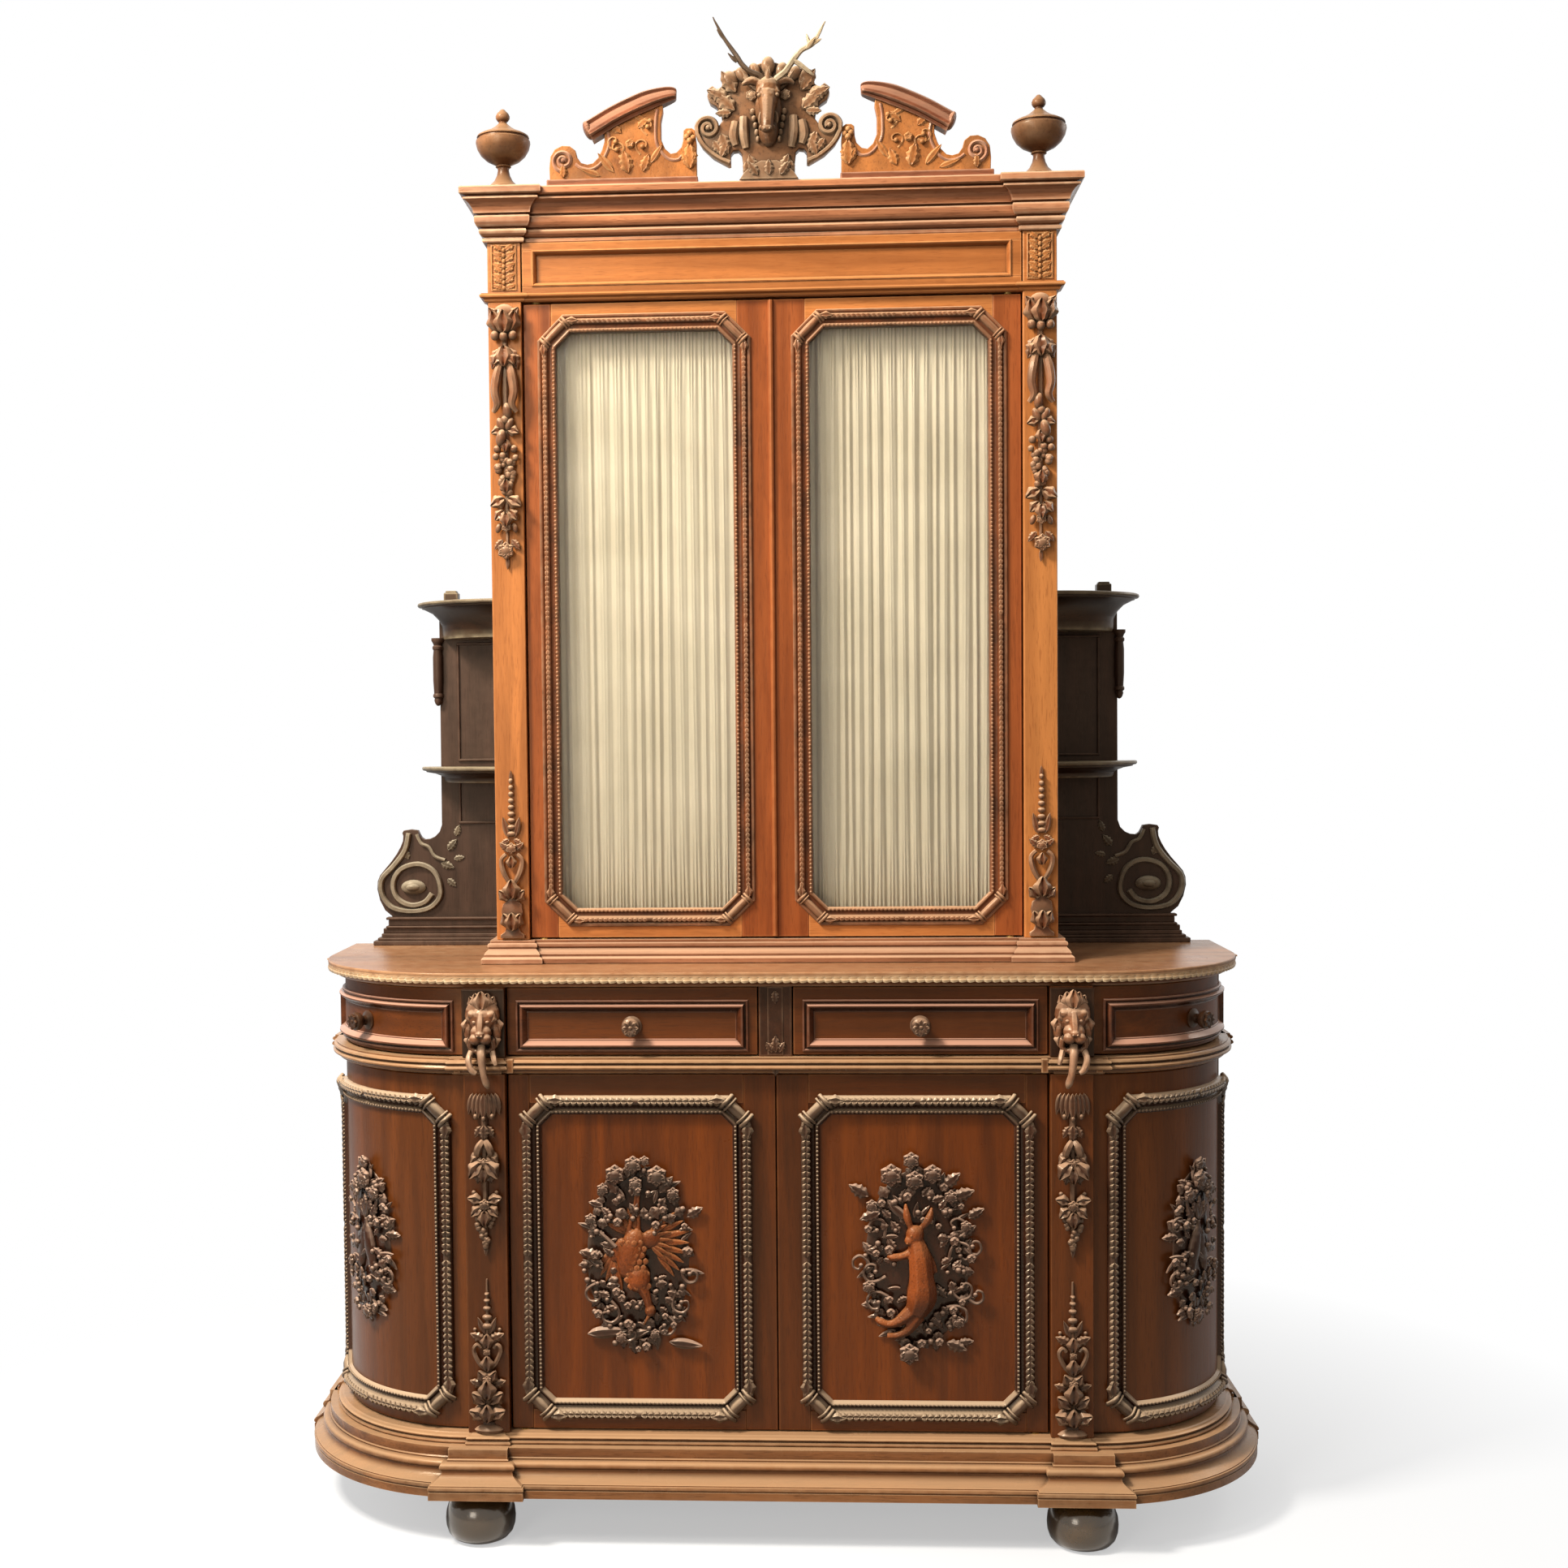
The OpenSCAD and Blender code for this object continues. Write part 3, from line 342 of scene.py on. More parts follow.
def moulding(section, route, up=(0, 0, 1), closed=False, degrees=35):
    """A moulding with mitred corners along a route of points; an entry of centre and degrees is a bend"""
    up = Vector(up)
    section = flanked(section)
    parts = []
    legs = []
    spot = Vector(route[0])
    for entry in route[1:] + ([route[0]] if closed else []):
        if len(entry) == 2:
            centre, bend = Vector(entry[0]), entry[1]
            legs.append(("bend", spot, centre, bend))
            spot = centre + Matrix.Rotation(math.radians(bend), 3, up) @ (spot - centre)
        else:
            legs.append(("run", spot, Vector(entry), 0))
            spot = Vector(entry)
    for i, (kind, a, b, bend) in enumerate(legs):
        if kind == "bend":
            first = a - b
            along = up.cross(first).normalized() * (1 if bend > 0 else -1)
            out = along.cross(up)
            part = drawn_line([a + out * o + up * u for o, u in section], True)
            on_bench(part)
            bpy.ops.mesh.spin(steps=max(2, int(abs(bend) / 3)), angle=-math.radians(bend), center=b, axis=up)
            parts.append(off_bench())
            continue
        along = (b - a).normalized()
        facing = []
        for j, step in ((i - 1, -1), (i + 1, 1)):
            other = legs[j % len(legs)] if closed or 0 <= j < len(legs) else None
            if other is None or other[0] == "bend":
                facing.append(along)
            else:
                facing.append((along + (other[2] - other[1]).normalized()).normalized())
        parts.append(run_of(section, a, b, up, facing[0], facing[1]))
    part = gather(parts)
    on_bench(part)
    bpy.ops.mesh.remove_doubles(threshold=0.02)
    closed_up()
    return soften(part, degrees)


def row(unit, count, pitch):
    """A row of copies of a unit along X, centred"""
    part = copy_of(unit)
    array = part.modifiers.new("row", "ARRAY")
    array.count = count
    array.use_relative_offset = False
    array.use_constant_offset = True
    array.constant_offset_displace = (pitch, 0, 0)
    keep(part, array)
    part.data.transform(move(-(count - 1) * pitch / 2))
    return part


def row_between(unit, a, b, pitch, up=(0, -1, 0), ends=0):
    """A row of a unit from a to b, its front facing up and its foot on the outer side"""
    a, b, up = Vector(a), Vector(b), Vector(up)
    length = (b - a).length - 2 * ends
    count = max(1, round(length / pitch))
    part = row(unit, count, length / count)
    along = (b - a).normalized()
    out = along.cross(up)
    place = Matrix((along, -up, -out)).transposed().to_4x4()
    part.data.transform(Matrix.Translation((a + b) / 2) @ place)
    if place.determinant() < 0:
        part.data.flip_normals()
    return part


def wrapped(part):
    """Bends a piece drawn flat, with X as the way round from the front, on to the right-hand rounded end"""
    for point in part.data.vertices:
        way = point.co.x / END_R
        r = END_R + DOOR_Y - point.co.y
        point.co.x = ARC_X + r * math.sin(way)
        point.co.y = ARC_Y - r * math.cos(way)
    return part


def ball(x, y, z, rx, ry, rz, tilt=0, axis="Y", rings=10):
    """A rounded lump, later blended with others"""
    quiet()
    bpy.ops.mesh.primitive_uv_sphere_add(segments=int(rings * 1.6), ring_count=rings, radius=1)
    part = bpy.context.object
    part.data.transform(move(x, y, z) @ turn(tilt, axis) @ size(rx, ry, rz))
    return part


def limb(spots, sides=10):
    """A tapering limb through spots of x, y, z and radius"""
    path = rounded_line([s[:3] for s in spots], 4, False)
    radii = [max(r[0], 0.2) for r in rounded_line([(s[3],) * 3 for s in spots], 4, False)]
    return tidy_normals(meshed(ruled([path], radii=radii, bevel_depth=1, bevel_resolution=max(1, sides // 4 - 1),
            use_fill_caps=True)))


def blended(parts, grain, rounds=3, flat=None):
    """Pieces fused into one carved form, remeshed at a grain and rubbed smooth"""
    part = gather(parts)
    remesh = part.modifiers.new("fuse", "REMESH")
    remesh.mode = "VOXEL"
    remesh.voxel_size = grain
    keep(part, remesh)
    if rounds:
        rub = part.modifiers.new("rub", "SMOOTH")
        rub.factor = 0.5
        rub.iterations = rounds
        keep(part, rub)
    hold(part)
    bpy.ops.object.shade_smooth()
    return part


FINISHES = {}


def with_finish(part, finish):
    part.data.materials.clear()
    part.data.materials.append(FINISHES[finish])
    for face in part.data.polygons:
        face.material_index = 0


def finished(part, name, finish, body, slot, *nodes):
    """Names a piece, brings it to metres, gives it its finish and body, and hides the nodes it stands for; slot is not
    used
    """
    part.data.transform(size(0.001) @ move(0, 0, -FLOOR_Z))
    part.name = name
    part.data.name = name
    with_finish(part, finish)
    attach(part, body)
    if nodes:
        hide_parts(*nodes)


def paired(right, name, finish, slot, *nodes, bodies=None):
    """Finishes a right-hand piece and its left-hand twin, joined on the case or each on its own moving body"""
    if not bodies:
        return finished(both_sides(right), name, finish, "case", slot, *nodes)
    for part, hand in ((right, "_right"), (mirrored(right), "_left")):
        finished(part, name + hand, finish, bodies + hand, slot, *[node + hand for node in nodes])


# finishes

def srgb(r, g, b):
    return tuple(((c / 255 + 0.055) / 1.055) ** 2.4 if c > 10 else c / 255 / 12.92 for c in (r, g, b)) + (1,)


def feed(tree, socket, value):
    """Gives a socket a value, or a link from another socket"""
    if isinstance(value, bpy.types.NodeSocket):
        tree.links.new(value, socket)
    else:
        socket.default_value = value


def put(tree, kind, values=(), **settings):
    node = tree.nodes.new("ShaderNode" + kind)
    for key, value in settings.items():
        setattr(node, key, value)
    for key, value in dict(values).items():
        feed(tree, node.inputs[key], value)
    return node


def noise(tree, place, scale, detail, rough=0.5, distortion=0):
    return put(tree, "TexNoise", {"Vector": place, "Scale": scale, "Detail": detail, "Roughness": rough,
            "Distortion": distortion}).outputs["Fac"]


def ramp(tree, source, *stops):
    node = put(tree, "ValToRGB", {"Fac": source})
    while len(node.color_ramp.elements) < len(stops):
        node.color_ramp.elements.new(0.5)
    for element, (place, value) in zip(node.color_ramp.elements, stops):
        element.position = place
        element.color = value if isinstance(value, tuple) else (value, value, value, 1)
    return node.outputs["Color"]


def blend_colour(tree, share, a, b):
    """Mixes colour b over colour a by a share, each a socket or a value"""
    return put(tree, "Mix", {0: share, 6: a, 7: b}, data_type="RGBA").outputs[2]


def reckon(tree, way, a, b):
    return put(tree, "Math", {0: a, 1: b}, operation=way).outputs[0]


def times(tree, a, b):
    return reckon(tree, "MULTIPLY", a, b)


def pattern(name, inputs, outputs):
    """An empty shader node group, the sockets it is given and the sockets it gives, named with their kinds"""
    group = bpy.data.node_groups.new(name, "ShaderNodeTree")
    for way, sockets in (("INPUT", inputs), ("OUTPUT", outputs)):
        for label, kind in sockets.items():
            group.interface.new_socket(name=label, in_out=way, socket_type="NodeSocket" + kind)
    return group, group.nodes.new("NodeGroupInput").outputs, group.nodes.new("NodeGroupOutput").inputs


def wood_grain():
    """Streaks, pores and cloudy figure of walnut, stretched along the grain"""
    g, given, out = pattern("wood grain", dict(Place="Vector", Light="Color", Middle="Color", Dark="Color",
            Figure="Float"), dict(Color="Color", Height="Float"))
    place, dark, figure = given["Place"], given["Dark"], given["Figure"]
    rings = put(g, "TexWave", {"Vector": place, "Scale": 5.5, "Distortion": 9, "Detail": 3, "Detail Scale": 1.3},
            wave_type="BANDS", bands_direction="X", wave_profile="SIN")
    streaks = ramp(g, noise(g, place, 34, 7, 0.62, 0.5), (0.34, 0), (0.66, 1))
    clouds = ramp(g, noise(g, place, 3.2, 3, distortion=1.2), (0.36, 0), (0.68, 1))
    ring = ramp(g, rings.outputs["Fac"], (0, 0), (0.42, 0.75), (1, 1))
    pore = ramp(g, noise(g, place, 380, 2, 0.7), (0.34, 0), (0.46, 1))
    lit = blend_colour(g, times(g, clouds, figure), blend_colour(g, streaks, dark, given["Middle"]), given["Light"])
    ringed = blend_colour(g, times(g, reckon(g, "SUBTRACT", 1, ring), figure), lit, dark)
    pored = blend_colour(g, times(g, reckon(g, "SUBTRACT", 1, pore), 0.45), ringed, dark)
    feed(g, out["Color"], pored)
    feed(g, out["Height"], reckon(g, "ADD", times(g, streaks, 0.5), times(g, pore, 0.5)))
    return g


def rubbed_edges_and_painted_light():
    """Painted shade in hollows and on undersides, paler arrises from rubbed wear with painted highlight, and painted
    top light on upper faces of carved and moulded wood
    """
    g, given, out = pattern("rubbed edges and painted light", dict(Color="Color", Rubbed="Color", WearAndHighlight="Float", PaintedShade="Float",
            PaintedTopLight="Float", Place="Vector"), dict(Color="Color"))
    shape = put(g, "NewGeometry").outputs
    level = put(g, "SeparateXYZ", {0: shape["Normal"]}).outputs["Z"]
    # convex spots take the rubbed colour: rubbed wear together with a painted highlight
    high = ramp(g, shape["Pointiness"], (0.51, 0), (0.6, 1))
    # upper faces painted paler, as if lit from above: painted top light
    top_light_share = times(g, ramp(g, level, (0.15, 0), (0.8, 1)), given["PaintedTopLight"])
    # downward faces painted darker: painted shade under things
    under = ramp(g, times(g, level, -1), (0.1, 0), (0.75, 0.85))
    # occlusion within the piece and concave spots: painted shade in hollows
    nook = put(g, "AmbientOcclusion", {"Distance": 0.024}, samples=6, only_local=True).outputs["AO"]
    low = reckon(g, "MAXIMUM", ramp(g, shape["Pointiness"], (0.4, 1), (0.495, 0)), ramp(g, nook, (0.3, 1), (0.84, 0)))
    uneven = ramp(g, noise(g, given["Place"], 45, 4), (0.3, 0.35), (0.7, 1))
    worn_and_highlit = times(g, times(g, high, uneven), given["WearAndHighlight"])
    # srgb(30, 15, 8) is the painted shade colour laid in hollows and under things
    with_painted_shade = blend_colour(g, times(g, reckon(g, "MAXIMUM", low, under), given["PaintedShade"]),
            blend_colour(g, top_light_share, given["Color"], given["Rubbed"]), srgb(30, 15, 8))
    feed(g, out["Color"], blend_colour(g, worn_and_highlit, with_painted_shade, given["Rubbed"]))
    return g


def old_polish():
    """Uneven wax: a roughness that wanders"""
    g, given, out = pattern("old polish", dict(Place="Vector", Gloss="Float"), dict(Roughness="Float"))
    spread = times(g, reckon(g, "SUBTRACT", noise(g, given["Place"], 14, 5, 0.65), 0.5), 0.16)
    feed(g, out["Roughness"], reckon(g, "ADD", spread, given["Gloss"]))
    return g


GRAIN, WEAR_AND_PAINTED_LIGHT, POLISH = wood_grain(), rubbed_edges_and_painted_light(), old_polish()


def plain(name, **values):
    """A new finish: its tree, its surface and the places on the piece; values are named with _ for a space"""
    finish = bpy.data.materials.new(name)
    finish.use_nodes = True
    FINISHES[name] = finish
    t = finish.node_tree
    surface = t.nodes["Principled BSDF"].inputs
    for label, value in values.items():
        surface[label.replace("_", " ")].default_value = value
    return t, surface, put(t, "TexCoord").outputs


def laid(t, surface, colour, rough, height=None, strength=0, distance=0):
    """Gives a surface its colour, its roughness and, from a height, its fine relief"""
    feed(t, surface["Base Color"], colour)
    feed(t, surface["Roughness"], rough)
    if height:
        bump = put(t, "Bump", {"Height": height, "Strength": strength, "Distance": distance})
        feed(t, surface["Normal"], bump.outputs[0])


def wood(name, light, middle, dark, rubbed, along, figure, gloss, wear_and_highlight, painted_shade=0.7, painted_top_light=0.4, coat=0.12, bump=0.12,
        stipple=0, ior=1.3):
    """Walnut or oak with the grain along an axis; colours as they are seen. The rubbed colour is laid on arrises as
    rubbed wear with painted highlight and on upper faces as painted top light; hollows and undersides take painted
    shade
    """
    t, surface, where = plain(name, Coat_Weight=coat * 0.2, Coat_Roughness=0.2, IOR=ior,
            Specular_Tint=(1, 0.8, 0.56, 1))
    place = where["Object"]
    scale, turned_by = {"X": ((0.075, 1, 1), (0, math.pi / 2, 0)), "Z": ((1, 1, 0.075), (0, 0, 0)),
            "": ((0.5, 0.5, 0.4), (0, 0, 0))}[along]
    lie = put(t, "Mapping", {"Scale": scale, "Rotation": turned_by, "Vector": place})
    grain = put(t, "Group", {"Place": lie.outputs[0], "Light": srgb(*light), "Middle": srgb(*middle),
            "Dark": srgb(*dark), "Figure": figure}, node_tree=GRAIN).outputs
    edges = put(t, "Group", {"Place": place, "Color": grain["Color"], "Rubbed": srgb(*rubbed), "WearAndHighlight": wear_and_highlight,
            "PaintedShade": painted_shade, "PaintedTopLight": painted_top_light}, node_tree=WEAR_AND_PAINTED_LIGHT)
    polish = put(t, "Group", {"Place": place, "Gloss": gloss}, node_tree=POLISH)
    height = grain["Height"]
    if stipple:
        pits = put(t, "TexVoronoi", {"Scale": 230, "Vector": place})
        height = reckon(t, "ADD", height, times(t, ramp(t, pits.outputs["Distance"], (0.15, 0), (0.5, 1)), stipple))
    laid(t, surface, edges.outputs["Color"], polish.outputs["Roughness"], height, bump, 0.002)


# name, light, middle, dark and rubbed colour (rubbed wear with painted highlight, and painted top light), grain along,
# then figure, gloss, wear with painted highlight, painted shade in hollows and under things, painted top light and coat
wood("walnut upper upright", (218, 144, 78), (186, 110, 55), (132, 72, 32), (226, 148, 86), "Z", 0.4, 0.36, 0.5)
wood("walnut upper level", (218, 144, 78), (186, 110, 55), (132, 72, 32), (232, 164, 104), "X", 0.4, 0.34, 0.6)
wood("walnut lower upright", (124, 64, 26), (92, 44, 16), (58, 27, 10), (150, 92, 50), "Z", 0.35, 0.34, 0.35)
wood("walnut lower level", (124, 64, 26), (92, 44, 16), (58, 27, 10), (176, 116, 70), "X", 0.35, 0.34, 0.45)
wood("walnut figured panel", (146, 72, 22), (112, 52, 14), (76, 34, 10), (146, 72, 22), "Z", 0.4, 0.3, 0.3, 0.7, 0.4,
        0.25)
wood("walnut moulding", (176, 116, 70), (138, 84, 46), (72, 38, 18), (236, 190, 142), "X", 0.35, 0.26, 0.5, 0.95, 0.42,
        0.12)
wood("door ring walnut", (96, 54, 34), (66, 35, 22), (30, 15, 9), (230, 196, 158), "", 0.3, 0.26, 0.16, 1, 0.7, 0.25)
wood("carved lower", (96, 54, 32), (68, 37, 22), (34, 17, 10), (226, 180, 142), "", 0.3, 0.26, 0.22, 1, 0.55, 0.3)
wood("carved upper", (160, 90, 50), (118, 62, 33), (58, 27, 14), (244, 200, 156), "", 0.3, 0.28, 0.3, 1, 0.65, 0.2)
wood("carved crest", (168, 116, 76), (122, 78, 48), (48, 28, 16), (236, 202, 162), "", 0.4, 0.32, 0.4, 1, 0.6, 0.15)
# one antler finish in a shaded and a lit copy: the dark one is painted shade, the pale one painted light
wood("antler in painted shade", (70, 50, 36), (46, 32, 24), (20, 13, 10), (130, 104, 78), "", 0.5, 0.36, 0.4)
wood("antler in painted light", (214, 184, 142), (176, 142, 100), (84, 58, 38), (240, 220, 184), "", 0.5, 0.36, 0.5)
wood("pediment rail", (172, 104, 70), (132, 70, 44), (62, 28, 16), (230, 176, 140), "X", 0.4, 0.32, 0.5, 0.95, 0.5,
        0.12)
wood("carved mask", (178, 118, 80), (142, 88, 56), (66, 36, 20), (238, 196, 158), "", 0.3, 0.3, 0.5, 1, 0.6, 0.2)
wood("shadowed walnut", (58, 32, 18), (42, 22, 12), (22, 11, 6), (120, 80, 54), "Z", 0.3, 0.36, 0.3, 1, 0.4, 0.12)
wood("stippled ground", (214, 138, 72), (180, 106, 50), (104, 54, 24), (236, 180, 120), "", 0.3, 0.4, 0.5, 0.95, 0.4,
        0.12, stipple=0.8)
wood("walnut door upright", (184, 100, 50), (150, 76, 34), (104, 46, 18), (206, 132, 78), "Z", 0.4, 0.36, 0.45)
wood("counter walnut", (178, 118, 74), (142, 86, 50), (92, 50, 26), (232, 190, 144), "X", 0.6, 0.3, 0.8, 0.7, 0, 0.12)
# counter-edge leaves painted pale: a painted highlight on the carved edge
wood("pale edge walnut with painted highlight", (216, 172, 124), (188, 142, 98), (110, 72, 42), (242, 214, 172), "X", 0.3, 0.34, 0.8)
# upper foot moulding painted paler: painted highlight on its top members
wood("pale moulding", (200, 142, 104), (166, 108, 74), (104, 58, 34), (240, 196, 156), "X", 0.35, 0.28, 0.6, 0.7, 0.5,
        0.12)
wood("niche dark", (84, 60, 48), (60, 40, 30), (28, 17, 12), (120, 92, 74), "Z", 0.4, 0.44, 0.5)
wood("niche scroll", (146, 126, 98), (104, 86, 64), (42, 32, 24), (196, 180, 152), "", 0.4, 0.36, 0.5, 1, 0.6, 0.12)
wood("niche shelf", (96, 66, 44), (64, 41, 27), (24, 14, 9), (196, 176, 140), "X", 0.4, 0.34, 0.5, 1, 0.5, 0.12)
wood("polished foot", (92, 64, 26), (58, 38, 14), (24, 15, 7), (120, 92, 58), "", 0.5, 0.13, 0.3, 0, 0, 5, ior=1.5)
wood("turned walnut", (160, 106, 66), (120, 72, 42), (58, 32, 18), (206, 160, 116), "", 0.4, 0.36, 0.5, 0.7, 0.4, 0.2)
wood("inner oak", (206, 164, 108), (176, 130, 78), (126, 86, 46), (206, 164, 108), "X", 0.4, 0.62, 0.3, 0.5, 0.4, 0)
wood("case boards", (112, 70, 40), (84, 50, 28), (44, 24, 14), (112, 70, 40), "Z", 0.4, 0.5, 0.4)
wood("end walnut", (132, 72, 30), (98, 50, 20), (64, 31, 12), (132, 72, 30), "Z", 0.35, 0.32, 0.3, 0.7, 0.4, 0.2)
# cornice finish painted paler and given strong painted top light on its upward faces
wood("cornice walnut", (226, 158, 112), (186, 116, 74), (98, 48, 26), (252, 214, 172), "X", 0.35, 0.24, 0.5, 0.66, 0.85,
        0.12)
wood("carved glazing", (164, 94, 54), (120, 62, 32), (54, 25, 12), (232, 182, 138), "", 0.3, 0.32, 0.4, 1, 0.6, 0.15)
wood("drawer ribs", (128, 70, 40), (92, 46, 24), (42, 20, 10), (228, 172, 142), "X", 0.3, 0.24, 0.25, 1, 0.7, 0.12)
wood("carved trophy", (88, 44, 24), (58, 28, 15), (24, 11, 6), (230, 188, 158), "", 0.3, 0.22, 0.16, 1, 0.6, 0.4)
wood("lit animal", (186, 96, 44), (140, 66, 26), (62, 26, 10), (222, 150, 96), "", 0.6, 0.36, 0.3, 1, 0.3, 0.2,
        stipple=0.9, bump=0.3)


def glass():
    t, surface, where = plain("old glass", Transmission_Weight=1, IOR=1.5, Alpha=0.3)
    ripple = noise(t, where["Object"], 9, 2)
    laid(t, surface, ramp(t, ripple, (0.3, srgb(244, 247, 244)), (0.7, srgb(252, 253, 252))), times(t, ripple, 0.06),
            ripple, 0.08, 0.004)


def metal():
    t, surface, where = plain("dull brass", Metallic=1)
    polish = put(t, "Group", {"Place": where["Object"], "Gloss": 0.4}, node_tree=POLISH)
    spots = noise(t, where["Object"], 120, 5)
    laid(t, surface, ramp(t, spots, (0.3, srgb(96, 74, 40)), (0.7, srgb(188, 156, 92))), polish.outputs["Roughness"])


def cloth():
    """Fine cream cotton with a plain weave that follows the cloth's own map"""
    t, surface, where = plain("cream cotton", Sheen_Weight=0.25)
    lie = put(t, "Mapping", {"Scale": (1, 1.6, 1), "Vector": where["UV"]})
    warp, weft = [put(t, "TexWave", {"Scale": 260, "Distortion": 0.4, "Vector": lie.outputs[0]},
            bands_direction=way).outputs["Fac"] for way in "XY"]
    weave = times(t, warp, weft)
    shade = noise(t, where["Object"], 7, 4)
    level = put(t, "SeparateXYZ", {0: where["Object"]}).outputs["Z"]
    foot = put(t, "MapRange", {"Value": level, "From Min": 1.1, "From Max": 1.8, "To Min": 0.5, "To Max": 0})
    tone = ramp(t, shade, (0.35, srgb(188, 173, 143)), (0.65, srgb(202, 187, 157)))
    tone = blend_colour(t, foot.outputs["Result"], tone, srgb(158, 143, 116))
    laid(t, surface, blend_colour(t, times(t, weave, 0.25), tone, srgb(190, 172, 138)),
            reckon(t, "ADD", times(t, shade, 0.1), 0.78), weave, 0.25, 0.0004)


glass()
metal()
cloth()


# base: feet, plinth and mouldings

def base_outline(grow, back):
    """Plan of the base, from the left back corner round the front to the right back corner"""
    r = END_R + grow
    steps = 20
    left = [(-ARC_X - r * math.cos(math.radians(90 * i / steps)), ARC_Y - r * math.sin(math.radians(90 * i / steps)))
            for i in range(steps + 1)]
    return [(-ARC_X - r, back)] + left + [(-x, y) for x, y in reversed(left)] + [(ARC_X + r, back)]


def slab(outline, z0, z1, ease=1.0):
    """A level board cut to an outline in X and Y"""
    part = cut_out([outline], z1 - z0, ease)
    part.data.transform(turn(-90, "X"))
    low = min(v.co.z for v in part.data.vertices)
    part.data.transform(move(0, 0, z0 - low))
    return part


def base_route(z, back=BACK_Y):
    r = ARC_X + END_R
    return [(-r, back, z), (-r, ARC_Y, z), ((-ARC_X, ARC_Y, z), 90), (ARC_X, DOOR_Y, z), ((ARC_X, ARC_Y, z), 90),
            (r, back, z)]


def round_base(section, z, back=BACK_Y):
    """A moulding round the base, with its breaks over the two rear stiles"""
    parts = [moulding(section, base_route(z, back))]
    for side in (-1, 1):
        ends = [(side * STILE_X, STILE_Y - 14, z), (side * STILE_X, back - 0.8, z)]
        parts.append(moulding(section, ends if side > 0 else ends[::-1]))
    return parts


def breaks(section, x0, x1, forward, z):
    """A moulding round two blocks under the pilasters, half a millimetre fuller above and below than the run behind"""
    high = max(u for _, u in section)
    section = [(max(o, -10), u * (high + 1) / high - 0.5) for o, u in section]
    y, back = DOOR_Y - forward, DOOR_Y + 30
    return [moulding(section, [(a, back, z), (a, y, z), (b, y, z), (b, back, z)]) for a, b in ((-x1, -x0), (x0, x1))]


def make_feet():
    profile = [(0, 0), (36, 0), (41, 1.6), (50, 6), (57, 14), (61, 26), (62, 38), (60.6, 52), (56, 65), (49, 75),
            (43, 80), (39.4, 82), (38, 84), (40.6, 86), (41.4, 88), (40.4, 90), (38, 92), (0, 92)]
    feet = [turned(profile, (s * 531, y, FLOOR_Z), 48) for s in (-1, 1) for y in (-202, 202)]
    finished(gather(feet), "bun_foot_turnings", "polished foot", "case", "walnut", "bun_feet")


PLINTH = [(-40, 0), (72, 0), (72, 13.5), (70.5, 14.5), (70.5, 16), (72.5, 17), (73, 20), (72, 22.5), (69.5, 23.2),
        (69.5, 24.6), (68, 25.6), (63, 28.5), (58, 32), (55, 34.5), (52, 38), (51, 43), (51.4, 45.4), (53, 46.4),
        (54.6, 49), (55, 52), (54, 55), (51, 57.4), (46, 58.4), (43, 59), (43, 61), (41, 63), (41, 79), (-40, 79)]
BOTTOM = [(-30, 0), (22, 0), (26, 1.5), (27, 4), (26, 6.5), (22.5, 7.5), (22.5, 9), (25, 10.5), (25.5, 12.5),
        (23, 14.5), (18, 16), (16, 18), (-30, 18)]
WAIST = [(-30, 0), (10, 0), (13, 2), (13.5, 5), (15, 7), (20, 8), (24, 10.5), (24.5, 13), (22.5, 16), (19.5, 17),
        (19.5, 18.4), (22, 19.4), (23.6, 21.6), (22.4, 24.4), (19, 25.6), (18, 26.6), (18, 29), (-30, 29)]
COUNTER_EDGE = [(-30, 0), (13, 0), (15, 2), (16, 4), (20, 5), (24.5, 8), (27.5, 12), (28.6, 16), (28.6, 18), (31, 18.6),
        (31, 21), (-30, 21)]


def make_plinth():
    parts = round_base(PLINTH, PLINTH_Z)
    parts += breaks(PLINTH, 517, 540, 13, PLINTH_Z)
    reach = ARC_X + END_R - 8
    parts.append(board(-reach, reach, BACK_Y - 40, BACK_Y - 1, PLINTH_Z + 2, BOTTOM_Z - 1))
    finished(gather(parts), "plinth_mouldings", "walnut moulding", "case", "walnut", "plinth")


def make_bottom_board():
    parts = round_base(BOTTOM, BOTTOM_Z)
    parts += breaks(BOTTOM, 500, 527, 8, BOTTOM_Z)
    parts.append(slab(base_outline(-8, BACK_Y), BOTTOM_Z + 0.6, CUPBOARD_Z - 0.6))
    finished(gather(parts), "bottom_board_mouldings", "walnut moulding", "case", "walnut", "base_bottom_board")


def make_waist():
    parts = round_base(WAIST, WAIST_Z, 263)
    parts += breaks(WAIST, 495, 556, 6, WAIST_Z)
    parts.append(slab(base_outline(-8, 262), WAIST_Z + 0.6, DRAWER_Z - 0.6))
    finished(gather(parts), "waist_mouldings", "walnut moulding", "case", "walnut", "waist_moulding")


